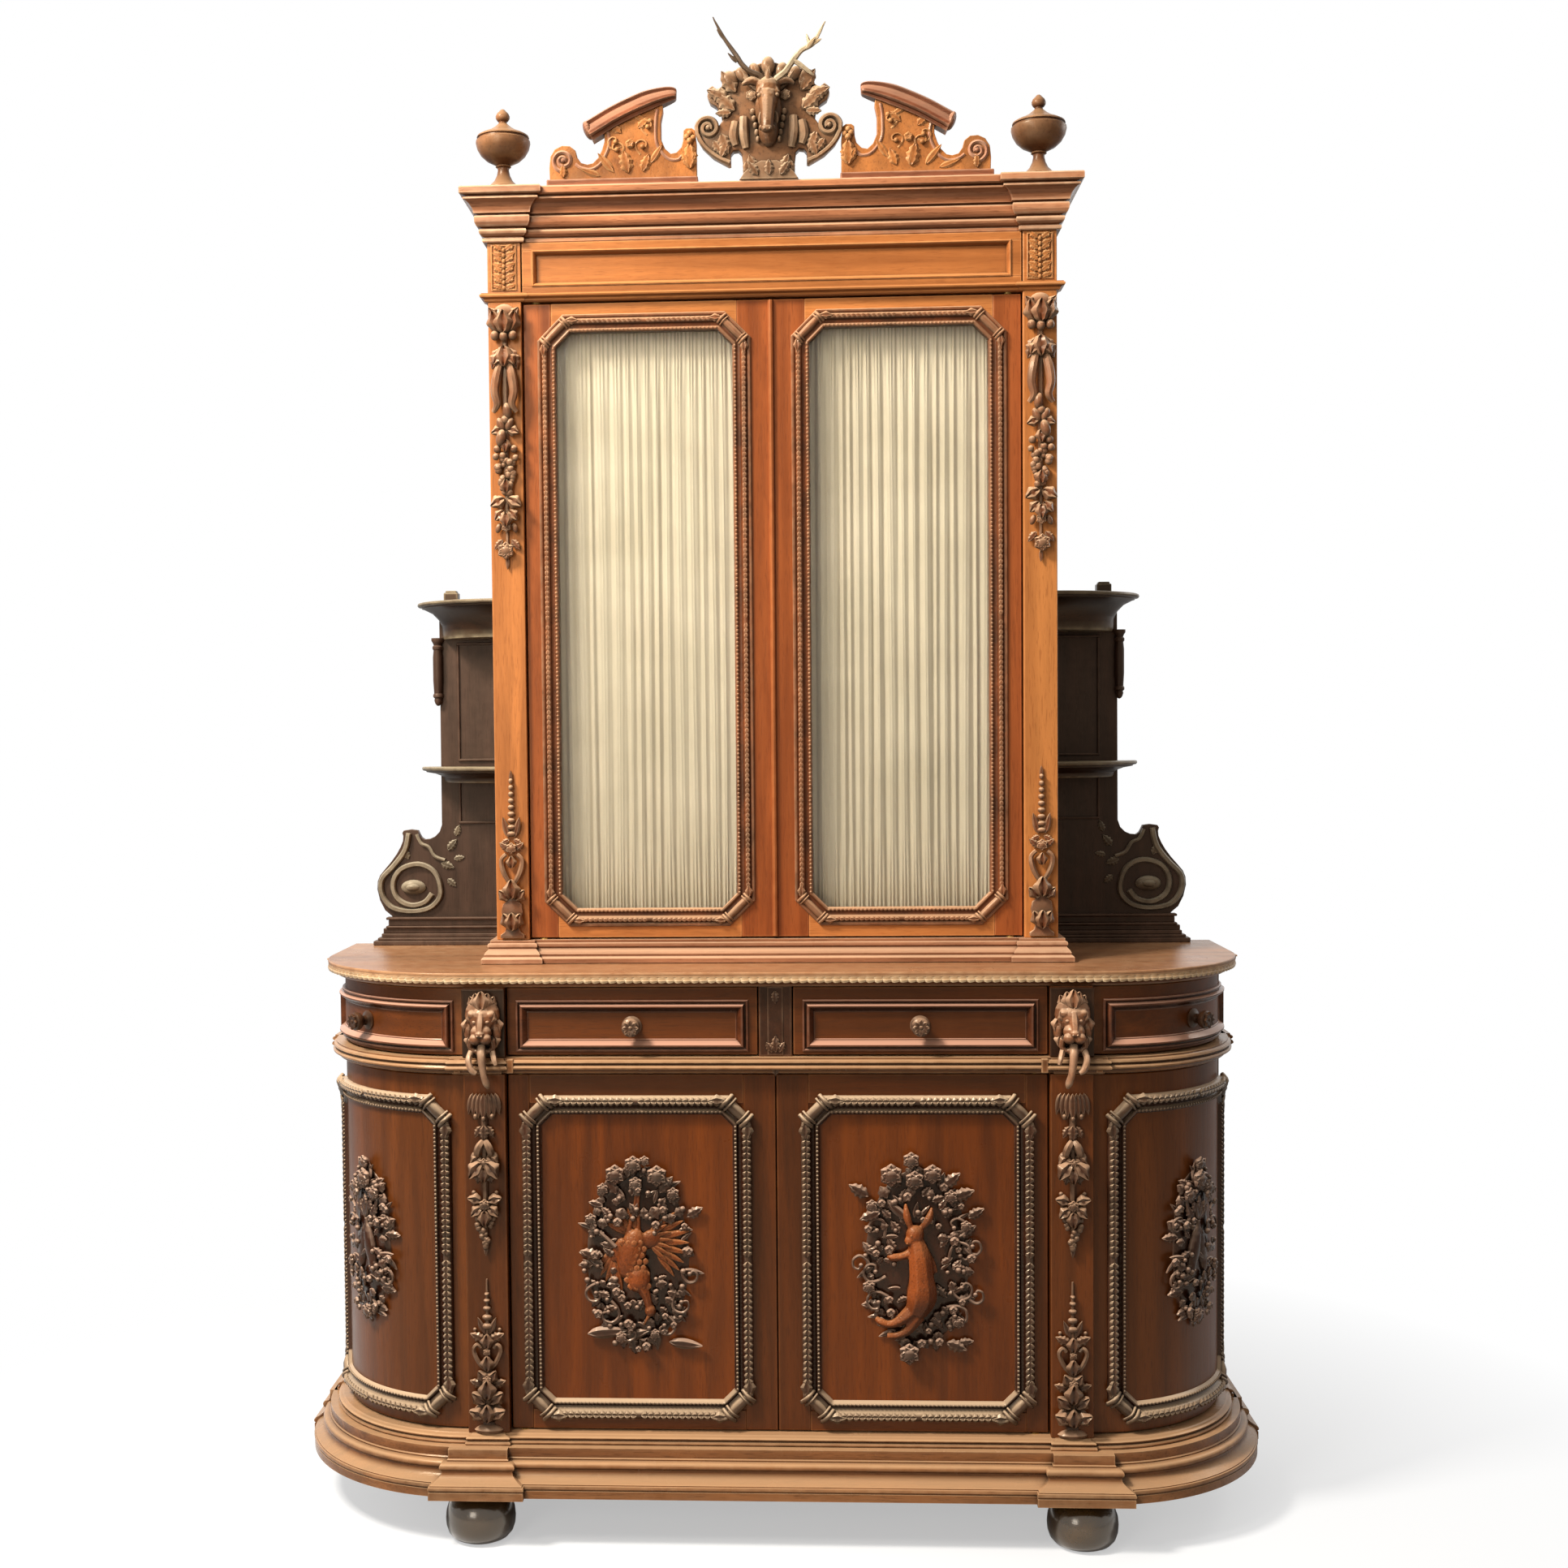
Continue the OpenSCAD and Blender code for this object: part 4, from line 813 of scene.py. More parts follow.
def leaf(length, width, lift, lobes=0, depth=0.25, curl=0.0, vein=0.0, thick=2.0, rows=8, columns=4):
    """A carved leaf that grows up from the origin, its face to the front"""
    quiet()
    bpy.ops.mesh.primitive_grid_add(x_subdivisions=columns, y_subdivisions=rows, size=1)
    part = bpy.context.object
    part.data.transform(move(0, 0.5))
    on_bench(part, "FACE")
    bpy.ops.mesh.extrude_region_move(TRANSFORM_OT_translate={"value": (0, 0, 0.05)})
    for i in range(rows + 1):
        t = i / rows
        wide = max(0.06, math.sin(math.pi * t ** 0.8) ** 0.75 if t < 1 else 0.06)
        if lobes:
            wide *= 1 - depth * (0.5 - 0.5 * math.cos(2 * math.pi * lobes * t))
        take(lambda co: abs(co.y - t) < 0.01)
        bpy.ops.transform.resize(value=(wide, 1, 1), center_override=(0, t, 0))
        if curl:
            bpy.ops.transform.translate(value=(0, 0, curl * t * t))
    part = off_bench()
    edge = {}
    for point in part.data.vertices:
        t = round(point.co.y * rows) / rows
        edge[t] = max(edge.get(t, 0.001), abs(point.co.x))
    for point in part.data.vertices:
        t = round(point.co.y * rows) / rows
        u = point.co.x / edge[t]
        if point.co.z - curl * t * t > 0.02:
            rise = lift * (1 - u * u) * (0.35 + 0.65 * math.sin(math.pi * min(1, t * 0.9 + 0.08)))
            if vein and abs(u) < 0.1:
                rise -= vein
            point.co.z = thick + rise + curl * t * t
        else:
            point.co.z = curl * t * t * 0.6
        point.co.x *= width
        point.co.y *= length
    part.data.transform(turn(90, "X"))
    return tidy_normals(part, 0.001)


def flower(radius, petals, lift=4.0, tilt=14, heart=0.28):
    """An open flower with a round heart"""
    petal = leaf(radius, radius * 1.9 * math.sin(math.pi / petals) + 2, lift, thick=2.5, rows=5, vein=lift * 0.35)
    petal.data.transform(turn(tilt, "X"))
    parts = [copy_of(petal, turn(360 * i / petals, "Y")) for i in range(petals)]
    scrap(petal)
    parts.append(ball(0, -lift * 0.8, 0, radius * heart, lift, radius * heart, rings=8))
    return gather(parts)


def place(unit, x, y, z, lean=0.0, scale=1.0, tilt=0.0):
    """A copy of a carved unit, leaning by degrees clockwise, its tip laid back by a tilt, set at a point"""
    return copy_of(unit, move(x, y, z) @ turn(lean, "Y") @ turn(-tilt, "X") @ size(scale))


EDGE_LEAF = leaf(20, 17, 3, lobes=1, depth=0.2, vein=1.2, thick=1.4, rows=6)
EDGE_LEAF.data.transform(move(-10, 0) @ turn(90, "Y"))


def carved_edge(unit, y_out, z, pitch, lean):
    """Carved units round the front and the rounded ends of the base, at a projection and a level"""
    flat = row(unit, round(1100 / pitch), 1100 / round(1100 / pitch))
    flat.data.transform(move(0, DOOR_Y - y_out, z) @ turn(lean, "X"))
    arc = (END_R + y_out) * math.pi / 2
    n = round(arc / pitch)
    parts = [flat]
    for i in range(n):
        way = (i + 0.5) * 90 / n
        for side in (-1, 1):
            spin = turn(way * side, "Z")
            parts.append(copy_of(unit, move(side * ARC_X, ARC_Y, z) @ spin @ move(0, -END_R - y_out) @ turn(lean, "X")))
    m = round((BACK_Y - ARC_Y - 20) / pitch)
    for i in range(m):
        for side in (-1, 1):
            y = ARC_Y + (i + 0.5) * (BACK_Y - ARC_Y) / m
            parts.append(copy_of(unit, move(side * (ARC_X + END_R + y_out), y, z) @ turn(90 * side, "Z") @
                    turn(lean, "X")))
    return gather(parts)


def make_counter():
    parts = round_base(COUNTER_EDGE, COUNTER_Z)
    parts.append(slab(base_outline(31.5, BACK_Y), COUNTER_TOP_Z - 7, COUNTER_TOP_Z, 2.0))
    parts.append(slab(base_outline(-6, BACK_Y - 1), COUNTER_Z, COUNTER_TOP_Z - 7, 0.5))
    finished(gather(parts), "counter_board", "counter walnut", "case", "walnut", "counter_top")
    edge = carved_edge(EDGE_LEAF, 28, COUNTER_Z + 14.5, 14.4, -12)
    # the pale edge finish is a painted highlight
    finished(edge, "counter_edge_leaves", "pale edge walnut with painted highlight", "case", "carved_walnut")


def make_pilasters():
    parts = []
    for z0, z1 in ((CUPBOARD_Z, WAIST_Z), (DRAWER_Z, COUNTER_Z)):
        parts.append(both_sides(board(PIL_X0, PIL_X1, PIL_Y, PIL_Y + 68, z0, z1, 1.6)))
    finished(gather(parts), "base_pilaster_boards", "walnut lower upright", "case", "walnut", "base_pilasters")
    parts = [both_sides(board(UP_PIL_X0, HALF_W, UP_PIL_Y, UP_SIDE_Y, GLAZED_Z, FRIEZE_Z, 1.6))]
    finished(gather(parts), "upper_pilaster_boards", "walnut upper upright", "case", "walnut", "upper_pilasters")


# base: doors and drawers

DOOR_Z0, DOOR_Z1 = 228, 862
MOULD = (43, 449.5, 248, 825)
LOWER_RING = [(0, 0), (0, 5), (-1.5, 9), (-4.5, 12.4), (-9, 13.8), (-13.5, 12.4), (-16.5, 9), (-17.6, 6), (-20, 3.8),
        (-23, 3), (-25, 4.2), (-26.4, 6.4), (-28.6, 7), (-30.6, 5.8), (-32, 3), (-34, 0.5), (-34, -3.8), (-10, -1),
        (0, -0.5)]


def canted_route(x0, x1, z0, z1, c, y):
    return [(x0 + c, y, z0), (x1 - c, y, z0), (x1, y, z0 + c), (x1, y, z1 - c), (x1 - c, y, z1), (x0 + c, y, z1),
            (x0, y, z1 - c), (x0, y, z0 + c)]


BEAD_LEAF = leaf(12, 16, 3.6, lobes=1, depth=0.0, vein=2.2, thick=1.4, rows=4)
BEAD_LEAF.data.transform(move(-6, 0) @ turn(90, "Y"))
PEARL = ball(0, 0, 0, 2.6, 2.0, 2.4, rings=6)
CLASP = leaf(34, 24, 6.0, lobes=2, depth=0.3, vein=2.6, thick=3.0)


def ring_leaves(x0, x1, z0, z1, c, y, inset, lift, pitch, pearl_in=0, unit=None):
    """Carved leaves along the sides of a canted ring, meeting at the middle of each side, with pearls inside them"""
    unit = unit or BEAD_LEAF
    parts = []
    sides = [((x0 + c, z0), (x1 - c, z0)), ((x1, z0 + c), (x1, z1 - c)), ((x1 - c, z1), (x0 + c, z1)),
            ((x0, z1 - c), (x0, z0 + c))]
    for a, b in sides:
        a, b = Vector((a[0], y, a[1])), Vector((b[0], y, b[1]))
        along = (b - a).normalized()
        out = along.cross(Vector((0, -1, 0)))
        mid = (a + b) / 2
        shift = -out * inset + Vector((0, -lift, 0))
        for p, q in ((mid, a), (mid, b)):
            parts.append(row_between(unit, q + shift, p + shift, pitch, ends=4))
        if pearl_in:
            inner = -out * pearl_in + Vector((0, -lift * 0.62, 0))
            squeeze = along * (pearl_in * 0.4)
            parts.append(row_between(PEARL, a + inner + squeeze, b + inner - squeeze, 7.2))
    return parts


def corner_clasps(x0, x1, z0, z1, c, y, inset, r):
    """Plain rolls across the canted corners, each held by banded collars and a leaf at both ends"""
    parts = []
    for x, z, sx, sz in ((x0, z0, 1, 1), (x1, z0, -1, 1), (x1, z1, -1, -1), (x0, z1, 1, -1)):
        k = inset * 0.414
        a = Vector((x + sx * (c + k), y, z + sz * inset))
        b = Vector((x + sx * inset, y, z + sz * (c + k)))
        along = (b - a).normalized()
        over = Vector((along.z, 0, -along.x)) * r * 1.5
        middle = (a + b) / 2
        parts.append(limb([(*a, r * 0.86), (*middle, r), (*b, r * 0.86)], 14))
        for end, way, lean in ((a, along, 90 * sx), (b, -along, 90 - 90 * sz)):
            for step, thick in ((0, 0.42), (0.85, 0.26)):
                at = end + way * step * r
                top = at + Vector((0, -r * 0.95, 0))
                parts.append(limb([(*(at - over), r * thick), (*top, r * thick), (*(at + over), r * thick)], 8))
            parts.append(place(CLASP, end.x - way.x * r * 0.3, y - r * 0.34, end.z - way.z * r * 0.3, lean, r / 11))
    return parts


def pressed(part, x, start, share):
    """Lowers the boldest relief beside the hinge, so that the opened door clears its stile"""
    on_bench(part)
    take(lambda co: co.x > x and co.y < DOOR_Y - start)
    bpy.ops.transform.resize(value=(1, share, 1), center_override=(0, DOOR_Y - start, 0))
    return off_bench()


def make_base_doors():
    x0, x1, z0, z1 = MOULD
    ring = moulding(LOWER_RING, canted_route(x0, x1, z0, z1, 40, DOOR_Y), (0, -1, 0), True)
    parts = [ring] + ring_leaves(x0, x1, z0, z1, 40, DOOR_Y, 9, 12.2, 11, 28.5)
    parts += corner_clasps(x0, x1, z0, z1, 40, DOOR_Y - 7, 9, 10)
    paired(pressed(gather(parts), 424, 12, 0.48), "base_door_carved_moulding", "door ring walnut", "carved_walnut",
            "base_door_moulding", bodies="middle_door")
    inner, z2, z3 = 435.5, 262, 811
    upright = [board(a, b, DOOR_Y, DOOR_Y + 24, DOOR_Z0, DOOR_Z1, 1.6) for a, b in ((1, 57), (inner, 473.5))]
    level = [board(57, inner, DOOR_Y + 0.2, DOOR_Y + 23.8, a, b, 0.8) for a, b in ((DOOR_Z0, z2), (z3, DOOR_Z1))]
    panel = board(55, inner + 2, DOOR_Y + 4, DOOR_Y + 16, z2 - 2, z3 + 2, 0.5)
    paired(gather(upright), "base_door_stiles", "walnut lower upright", "walnut", "base_door", bodies="middle_door")
    paired(gather(level), "base_door_rails", "walnut lower level", "walnut", bodies="middle_door")
    paired(panel, "base_door_panel", "walnut figured panel", "walnut", bodies="middle_door")


def bent_board(r0, r1, a0, a1, z0, z1, ease=1.5):
    """A board bent round the right-hand end, with eased edges"""
    e = ease
    section = [(r0 + e, z0), (r1 - e, z0), (r1, z0 + e), (r1, z1 - e), (r1 - e, z1), (r0 + e, z1), (r0, z1 - e),
            (r0, z0 + e)]
    at = math.radians(a0)
    part = drawn_line([(ARC_X + r * math.sin(at), ARC_Y - r * math.cos(at), z) for r, z in flanked(section)], True)
    on_bench(part)
    bpy.ops.mesh.spin(steps=30, angle=math.radians(a0 - a1), center=(ARC_X, ARC_Y, 0), axis=(0, 0, 1))
    take_all()
    return soften(closed_up())


def fine_cut(part, pitch, x0, x1):
    """Adds cross cuts along X so that a straight piece can be bent"""
    on_bench(part)
    x = x0 + pitch
    while x < x1:
        take_all()
        bpy.ops.mesh.bisect(plane_co=(x, 0, 0), plane_no=(1, 0, 0))
        x += pitch
    return off_bench()


def make_end_doors():
    arc = END_R * math.pi / 2
    a = (26, arc - 26, 248, 825)
    ring = moulding(LOWER_RING[:-3] + [(-34, 0.3), (0, 0.3)], canted_route(*a, 40, DOOR_Y), (0, -1, 0), True)
    ring = fine_cut(ring, 9, 26, arc - 26)
    parts = [ring] + ring_leaves(*a, 40, DOOR_Y, 9, 12.2, 11, 28.5) + corner_clasps(*a, 40, DOOR_Y - 7, 9, 10)
    paired(bent_board(242, 266, 0.54, 90, DOOR_Z0, DOOR_Z1), "end_door_board", "end walnut", "walnut", "end_door",
            bodies="rounded_door")
    paired(wrapped(pressed(gather(parts), arc - 52, 10, 0.46)), "end_door_carved_moulding", "door ring walnut",
            "carved_walnut", "end_door_moulding", bodies="rounded_door")


def swept(section, path, radii=(), closed=False):
    """A profile of (across, along the plane's normal) drawn along a path in X and Z; radii swell or thin it"""
    drawn = ruled([section], "2D", True)
    part = meshed(ruled([path], closed=closed, radii=radii, twist_mode="Z_UP", bevel_mode="OBJECT", bevel_object=drawn,
            use_fill_caps=True))
    scrap(drawn)
    part.data.transform(turn(90, "X"))
    return soften(tidy_normals(part), 40)


def spiral(cx, cz, r0, r1, a0, a1, steps=28):
    """Points on a scroll about a centre, from one radius and angle to another"""
    return [(cx + (r0 + (r1 - r0) * i / steps) * math.cos(math.radians(a0 + (a1 - a0) * i / steps)),
            cz + (r0 + (r1 - r0) * i / steps) * math.sin(math.radians(a0 + (a1 - a0) * i / steps))) for i in
            range(steps + 1)]


UP_FOOT = [(-40, 0), (23, 0), (26, 1.5), (26, 9), (24, 11.5), (21, 13), (20.5, 15), (21, 17), (19, 21), (15, 25),
        (13.5, 27), (13.5, 29), (15, 30), (15.6, 33), (14.5, 36), (11, 37.5), (11, 42), (-40, 42)]
CORNICE = [(-30, 0), (6, 0), (7.5, 2), (7.5, 7), (3.5, 8.6), (3.5, 10), (8, 11), (12, 15), (13, 19), (11.6, 22.6),
        (7, 23.6), (7, 25.4), (15, 26.4), (17.4, 29), (19.6, 34), (20, 42), (18.4, 45), (13.5, 46), (13.5, 48),
        (21, 49), (21.4, 53), (23.6, 59), (28, 65), (33.6, 69.6), (37, 71), (37, 74), (31, 75.2), (31, 77), (40.6, 78),
        (43, 80), (43, 89.6), (41.6, 92), (-30, 92)]
SHELF_EDGE = [(-10, 0), (4, 0), (6, 2), (6.5, 5), (9, 6.5), (13, 8), (14, 10.5), (12.5, 13), (11, 13.6), (11, 15),
        (-10, 15)]


def upper_route(side, front, inner, z):
    """A route round the upper part, from one side over its two pilasters to the other side"""
    return [(-HALF_W, side, z), (-HALF_W, front, z), (-UP_PIL_X0, front, z), (-UP_PIL_X0, inner, z),
            (UP_PIL_X0, inner, z), (UP_PIL_X0, front, z), (HALF_W, front, z), (HALF_W, side, z)]


def make_upper_mouldings():
    foot = moulding(UP_FOOT, upper_route(248, UP_PIL_Y, UP_PIL_Y + 8, COUNTER_TOP_Z))
    finished(gather([foot, board(-HALF_W + 4, HALF_W - 4, -55, BACK_Y - 1, COUNTER_TOP_Z, GLAZED_Z - 0.6, 0.5)]),
            "upper_foot_moulded", "pale moulding", "case", "walnut", "upper_foot_moulding")
    z = CORNICE_Z
    top = moulding(CORNICE, upper_route(BACK_Y, UP_PIL_Y, UP_PIL_Y + 12, z))
    finished(gather([top, board(-HALF_W + 4, HALF_W - 4, -50, BACK_Y - 1, z + 0.6, CREST_Z - 0.6, 0.5)]),
            "cornice_moulded", "cornice walnut", "case", "walnut", "cornice")


def make_frieze():
    core = [board(-HALF_W + 1, HALF_W - 1, -58, -20, FRIEZE_Z + 2, CORNICE_Z, 0.6)]
    wide, sunk, z0, z1 = 446, 428, 2267, 2331
    core += [board(-wide, wide, -66, -56, a, b, 0.8) for a, b in ((2255, z0), (z1, CORNICE_Z))]
    core += [board(a, b, -66, -56, z0, z1, 0.8) for a, b in ((-wide, -sunk), (sunk, wide))]
    core.append(moulding([(0, 0), (0, 2), (-2, 3), (-4, 1.5), (-6, -1), (-8, -6), (0, -6)],
            [(-sunk, -66, z0), (sunk, -66, z0), (sunk, -66, z1), (-sunk, -66, z1)], (0, -1, 0), True))
    blocks = both_sides(board(448, HALF_W, UP_PIL_Y, -20, FRIEZE_Z + 15, CORNICE_Z, 1.5))
    shelf = moulding(SHELF_EDGE, upper_route(-20, UP_PIL_Y + 3, -64, FRIEZE_Z))
    finished(gather(core + [blocks, shelf]), "frieze_framed", "walnut upper level", "case", "walnut", "frieze")


SIGHT = (43, 413.5, 1118, 2210)
GLAZING = [(7, -0.5), (7, 2.6), (5.4, 4.4), (2.6, 4.8), (0.6, 3.8), (-0.4, 3.2), (-1.8, 5.4), (-4.4, 7.6), (-7, 8),
        (-9.6, 7), (-11.4, 5), (-12.6, 3.2), (-15.4, 2.2), (-18.4, 2.6), (-20, 4.2), (-22.2, 5), (-24.4, 4.2),
        (-26, 1.6), (-26, -11.4), (-18.6, -11.4), (-18.6, -0.5)]
SMALL_LEAF = leaf(9.6, 8, 1.8, lobes=0, vein=0.6, thick=0.8, rows=4)
SMALL_LEAF.data.transform(move(-4.8, 0) @ turn(90, "Y"))


def make_upper_doors():
    x0, x1, z0, z1 = SIGHT
    c = 42
    y = UP_DOOR_Y
    ring = [moulding(GLAZING, canted_route(x0, x1, z0, z1, c, y), (0, -1, 0), True)]
    carving = ring_leaves(x0, x1, z0, z1, c, y, 5.6, 6.6, 9, 21.6, SMALL_LEAF)
    carving += corner_clasps(x0, x1, z0, z1, c, y - 4, 6, 7)
    a, b, c, d = 61, 395.5, 1136, 2192
    upright = [board(*ends, y, y + 24, 1091, 2237, 1.6) for ends in ((1, a), (b, 445.5))]
    level = [board(a, b, y + 0.2, y + 23.8, *ends, 0.8) for ends in ((1091, c), (d, 2237))]
    for cx, cz, sx, sz in ((a, c, 1, 1), (b, c, -1, 1), (b, d, -1, -1), (a, d, 1, -1)):
        level.append(cut_out([[(cx, cz), (cx + sx * 36, cz), (cx, cz + sz * 36)]], 22, 0.4, y + 23))
    paired(gather(upright), "upper_door_stiles", "walnut door upright", "walnut", "upper_door_frame",
            bodies="upper_door")
    paired(gather(level), "upper_door_rails", "walnut upper level", "walnut", bodies="upper_door")
    paired(gather(ring), "glazing_moulding_sweep", "carved glazing", "walnut", "glazing_moulding", bodies="upper_door")
    paired(gather(carving), "glazing_moulding_leaves", "carved glazing", "carved_walnut", bodies="upper_door")
    astragal = moulding([(-5, 0), (-5, 3), (-3, 6.5), (0, 7.8), (3, 6.5), (5, 3), (5, 0)], [(0, y, 1093), (0, y, 2235)],
            (0, -1, 0))
    finished(astragal, "meeting_astragal", "walnut door upright", "upper_door_right", "walnut")


def make_curtain(side, hand):
    """One gathered curtain: soft uneven folds between two rods, with small pleats where it is gathered"""
    quiet()
    across, down = 340, 54
    bpy.ops.mesh.primitive_grid_add(x_subdivisions=across, y_subdivisions=down, size=1)
    part = bpy.context.object
    rand = random.Random(11 + side)
    valleys = [0.0]
    while valleys[-1] < 1:
        valleys.append(valleys[-1] + rand.uniform(0.034, 0.082))
    valleys = [v / valleys[-1] for v in valleys]
    deep = [rand.uniform(0.3, 1.0) for _ in valleys]
    wander = [(rand.uniform(-1, 1), rand.uniform(0.4, 1.3), rand.uniform(0, 6)) for _ in valleys]
    x0, x1, z0, z1 = 58.5, 398, 1136, 2192
    for point in part.data.vertices:
        s, t = point.co.x + 0.5, point.co.y + 0.5
        lines = [v + 0.009 * w * math.sin(3.1 * t * f + p) * math.sin(math.pi * v) for v,
                (w, f, p) in zip(valleys, wander)]
        i = max(k for k in range(len(lines) - 1) if lines[k] <= s or k == 0)
        u = (s - lines[i]) / (lines[i + 1] - lines[i])
        calm = 0.45 + 0.55 * s if side < 0 else 1.0
        depth = 8.6 * calm * (0.45 + 0.55 * deep[i] * (0.7 + 0.3 * math.sin(4 * t + wander[i][2])))
        near = max(0.0, abs(t - 0.5) * 2 - 0.72) / 0.28
        fold = depth * (0.5 - abs(2 * u - 1) ** 2.6) * (1 - 0.45 * near)
        pleat = (0.9 + 1.3 * near) * math.sin(2 * math.pi * (s * 47 + 0.5 * math.sin(9 * s + 3 * t)))
        x = x0 + (x1 - x0) * s + 1.6 * math.sin(2 * math.pi * u) * (1 - 0.4 * near)
        rise = max(-5.4, min(5.4, fold + pleat * (0.35 + 0.65 * near)))
        point.co = (side * min(max(x, x0), x1), -23 - rise, z0 + (z1 - z0) * t)
    if side < 0:
        part.data.flip_normals()
    hold(part)
    bpy.ops.object.shade_smooth()
    finished(part, "gathered_curtain_" + hand, "cream cotton", "upper_door_" + hand, "curtain_cloth", "curtain_" + hand)
    part.data.update()
    return part


def outward(points):
    """Points of a niche, counted from the side of the upper part"""
    return [(HALF_W + x, z) for x, z in points]


def make_niches():
    """Side niches: sawn back board with a pear-shaped scroll on a stepped foot, coved quarter-round shelves, columns"""
    s = HALF_W
    left = [(261, 1102), (275, 1114), (285, 1134), (290, 1156), (289, 1172), (284, 1184), (274, 1196), (261, 1211),
            (250, 1226), (242, 1240), (237, 1252), (236, 1262)]
    scroll = [(0, 1046), (262, 1046)] + left + [(238, 1268), (235, 1273), (221, 1275), (207, 1273), (204, 1266),
            (200, 1259), (194, 1255), (183, 1256), (172, 1261), (163, 1270), (158, 1284), (157, 1703), (0, 1703)]
    parts = [cut_out([outward(scroll)], 18, 1.0, BACK_Y - 0.5)]
    path = [(224, 1268), (232, 1234), (254, 1204), (277, 1180), (282, 1160), (276, 1138), (258, 1119), (222, 1112),
            (184, 1119), (163, 1142), (165, 1173), (180, 1196), (206, 1206), (236, 1199), (253, 1181), (257, 1158),
            (247, 1136), (221, 1124), (194, 1130), (179, 1147)]
    trim = swept([(-5, -4), (5, -4), (5.4, 2), (3, 6), (-3, 6), (-5.4, 2)], rounded_line(outward(path), 4, False))
    neck = swept([(-3, -4), (3, -4), (3, 3), (0, 5), (-3, 3)], rounded_line(outward([(208, 1266), (199, 1248),
            (184, 1240), (172, 1222), (152, 1214)]), 4, False))
    for piece in (trim, neck):
        piece.data.transform(move(0, BACK_Y - 22))
    carved = [trim, neck, ball(s + 216, 252, 1160, 25, 10, 15), ball(s + 216, 246, 1160, 14, 8, 8)]
    for x, z, lean, scale in ((160, 1208, -110, 0.6), (146, 1234, -40, 0.6), (130, 1262, -20, 0.5),
            (148, 1176, -130, 0.5), (134, 1216, -80, 0.46), (226, 1216, 20, 0.5)):
        carved.append(place(SPRAY, s + x, 256, z, lean, scale))
    paired(carved_piece(carved), "niche_scroll_carving", "niche scroll", "carved_walnut")
    for x0, x1, z0, z1, deep in ((0, 294, 1046, 1055, 26), (0, 286, 1055, 1061, 22), (0, 279, 1061, 1069, 18),
            (0, 276, 1069, 1079, 14), (0, 270, 1079, 1084, 18), (0, 266, 1084, 1096, 12), (0, 270, 1096, 1101, 16)):
        parts.append(board(s + x0, s + x1, 256 - deep, 262, z0, z1, 1.6))
    for x in (s + 22, s + 118):
        parts.append(board(x, x + 5, 252, 258, 1290, 1372, 1.5))
        parts.append(board(x, x + 5, 252, 258, 1412, 1640, 1.5))
    parts += [board(s + 22, s + 123, 252, 258, z, z + 5, 1.5) for z in (1286, 1370, 1410, 1640)]
    parts.append(turned([(0, 0), (3, 1), (6, 5), (8, 11), (7, 15), (10, 18), (10, 22), (8, 25), (9.4, 50), (9.4, 96),
            (8, 110), (10, 113), (10, 117), (7.6, 120), (9, 124), (12, 129), (12, 134), (0, 134)], (s + 160, 250, 1520),
            20))
    paired(gather(parts), "niche_back_carving", "niche dark", "walnut", "niche_backs")
    shelves = []
    for level, wide, coved in ((1400, 198, 22), (1722, 202, 62)):
        rim = [(0, level - 9 - coved), (150, level - 9 - coved), (153, level - 8 - coved * 0.9),
                (154, level - 9 - coved * 0.6), (160, level - 10 - coved * 0.36), (172, level - 10 - coved * 0.16),
                (wide - 12, level - 11), (wide - 9, level - 10.4), (wide - 8, level - 8.4), (wide - 2, level - 7),
                (wide, level - 4), (wide - 1, level - 1), (wide - 3, level), (0, level)]
        bowl = turned(rim, steps=56)
        bowl.data.transform(move(s - 1, BACK_Y - 1) @ size(1, 0.83, 1))
        on_bench(bowl)
        for point, facing in (((s - 1, 0, 0), (1, 0, 0)), ((0, BACK_Y - 1, 0), (0, -1, 0))):
            take_all()
            bpy.ops.mesh.bisect(plane_co=point, plane_no=facing, use_fill=True, clear_inner=True)
        off_bench()
        shelves.append(bowl)
    shelves.append(board(s + 112, s + 140, 215, 242, 1721, 1741, 2))
    shelves.append(board(s + 115, s + 137, 218, 239, 1739, 1745, 2))
    paired(gather(shelves), "niche_shelf_boards", "niche shelf", "walnut", "niche_shelves")


def make_urns():
    profile = [(0, 0), (30, 0), (31, 3), (30, 8), (24, 13), (17, 20), (12, 30), (10, 39), (10.5, 43), (14, 45.5),
            (12.5, 48), (18, 51), (30, 57), (40, 66), (46.5, 77), (49, 87), (48.6, 91), (45, 93.4), (44.6, 95.4),
            (47, 97), (46, 99.6), (38, 104), (27, 108.6), (17, 114.6), (10.6, 120), (7.4, 123), (7.4, 125.4),
            (10, 127.6), (12.4, 131.4), (12.6, 135.4), (10.4, 140.4), (6.6, 144), (5, 146), (2.6, 148), (0, 148.4)]
    parts = [turned(profile, (s * UP_PIL_MID, -57, CREST_Z), 40) for s in (-1, 1)]
    parts += [board(s * UP_PIL_MID - 34, s * UP_PIL_MID + 34, -91, -23, CREST_Z - 0.5, CREST_Z + 5, 1.2) for s in
            (-1, 1)]
    finished(gather(parts), "urn_turnings", "turned walnut", "case", "walnut", "urn_finials")


RIBS = [(0, 0), (0, 4.4), (-1.4, 6), (-3.2, 6.2), (-4.6, 5.2), (-5.2, 3.6), (-6.4, 3.4), (-7.4, 5.4), (-8.4, 10),
        (-10, 11.6), (-12.2, 11.4), (-14.6, 9), (-17.2, 5.2), (-19, 3.2), (-19.8, 1.6), (-21, 1.8), (-22.4, 0.8),
        (-22.4, -0.5), (0, -0.5)]


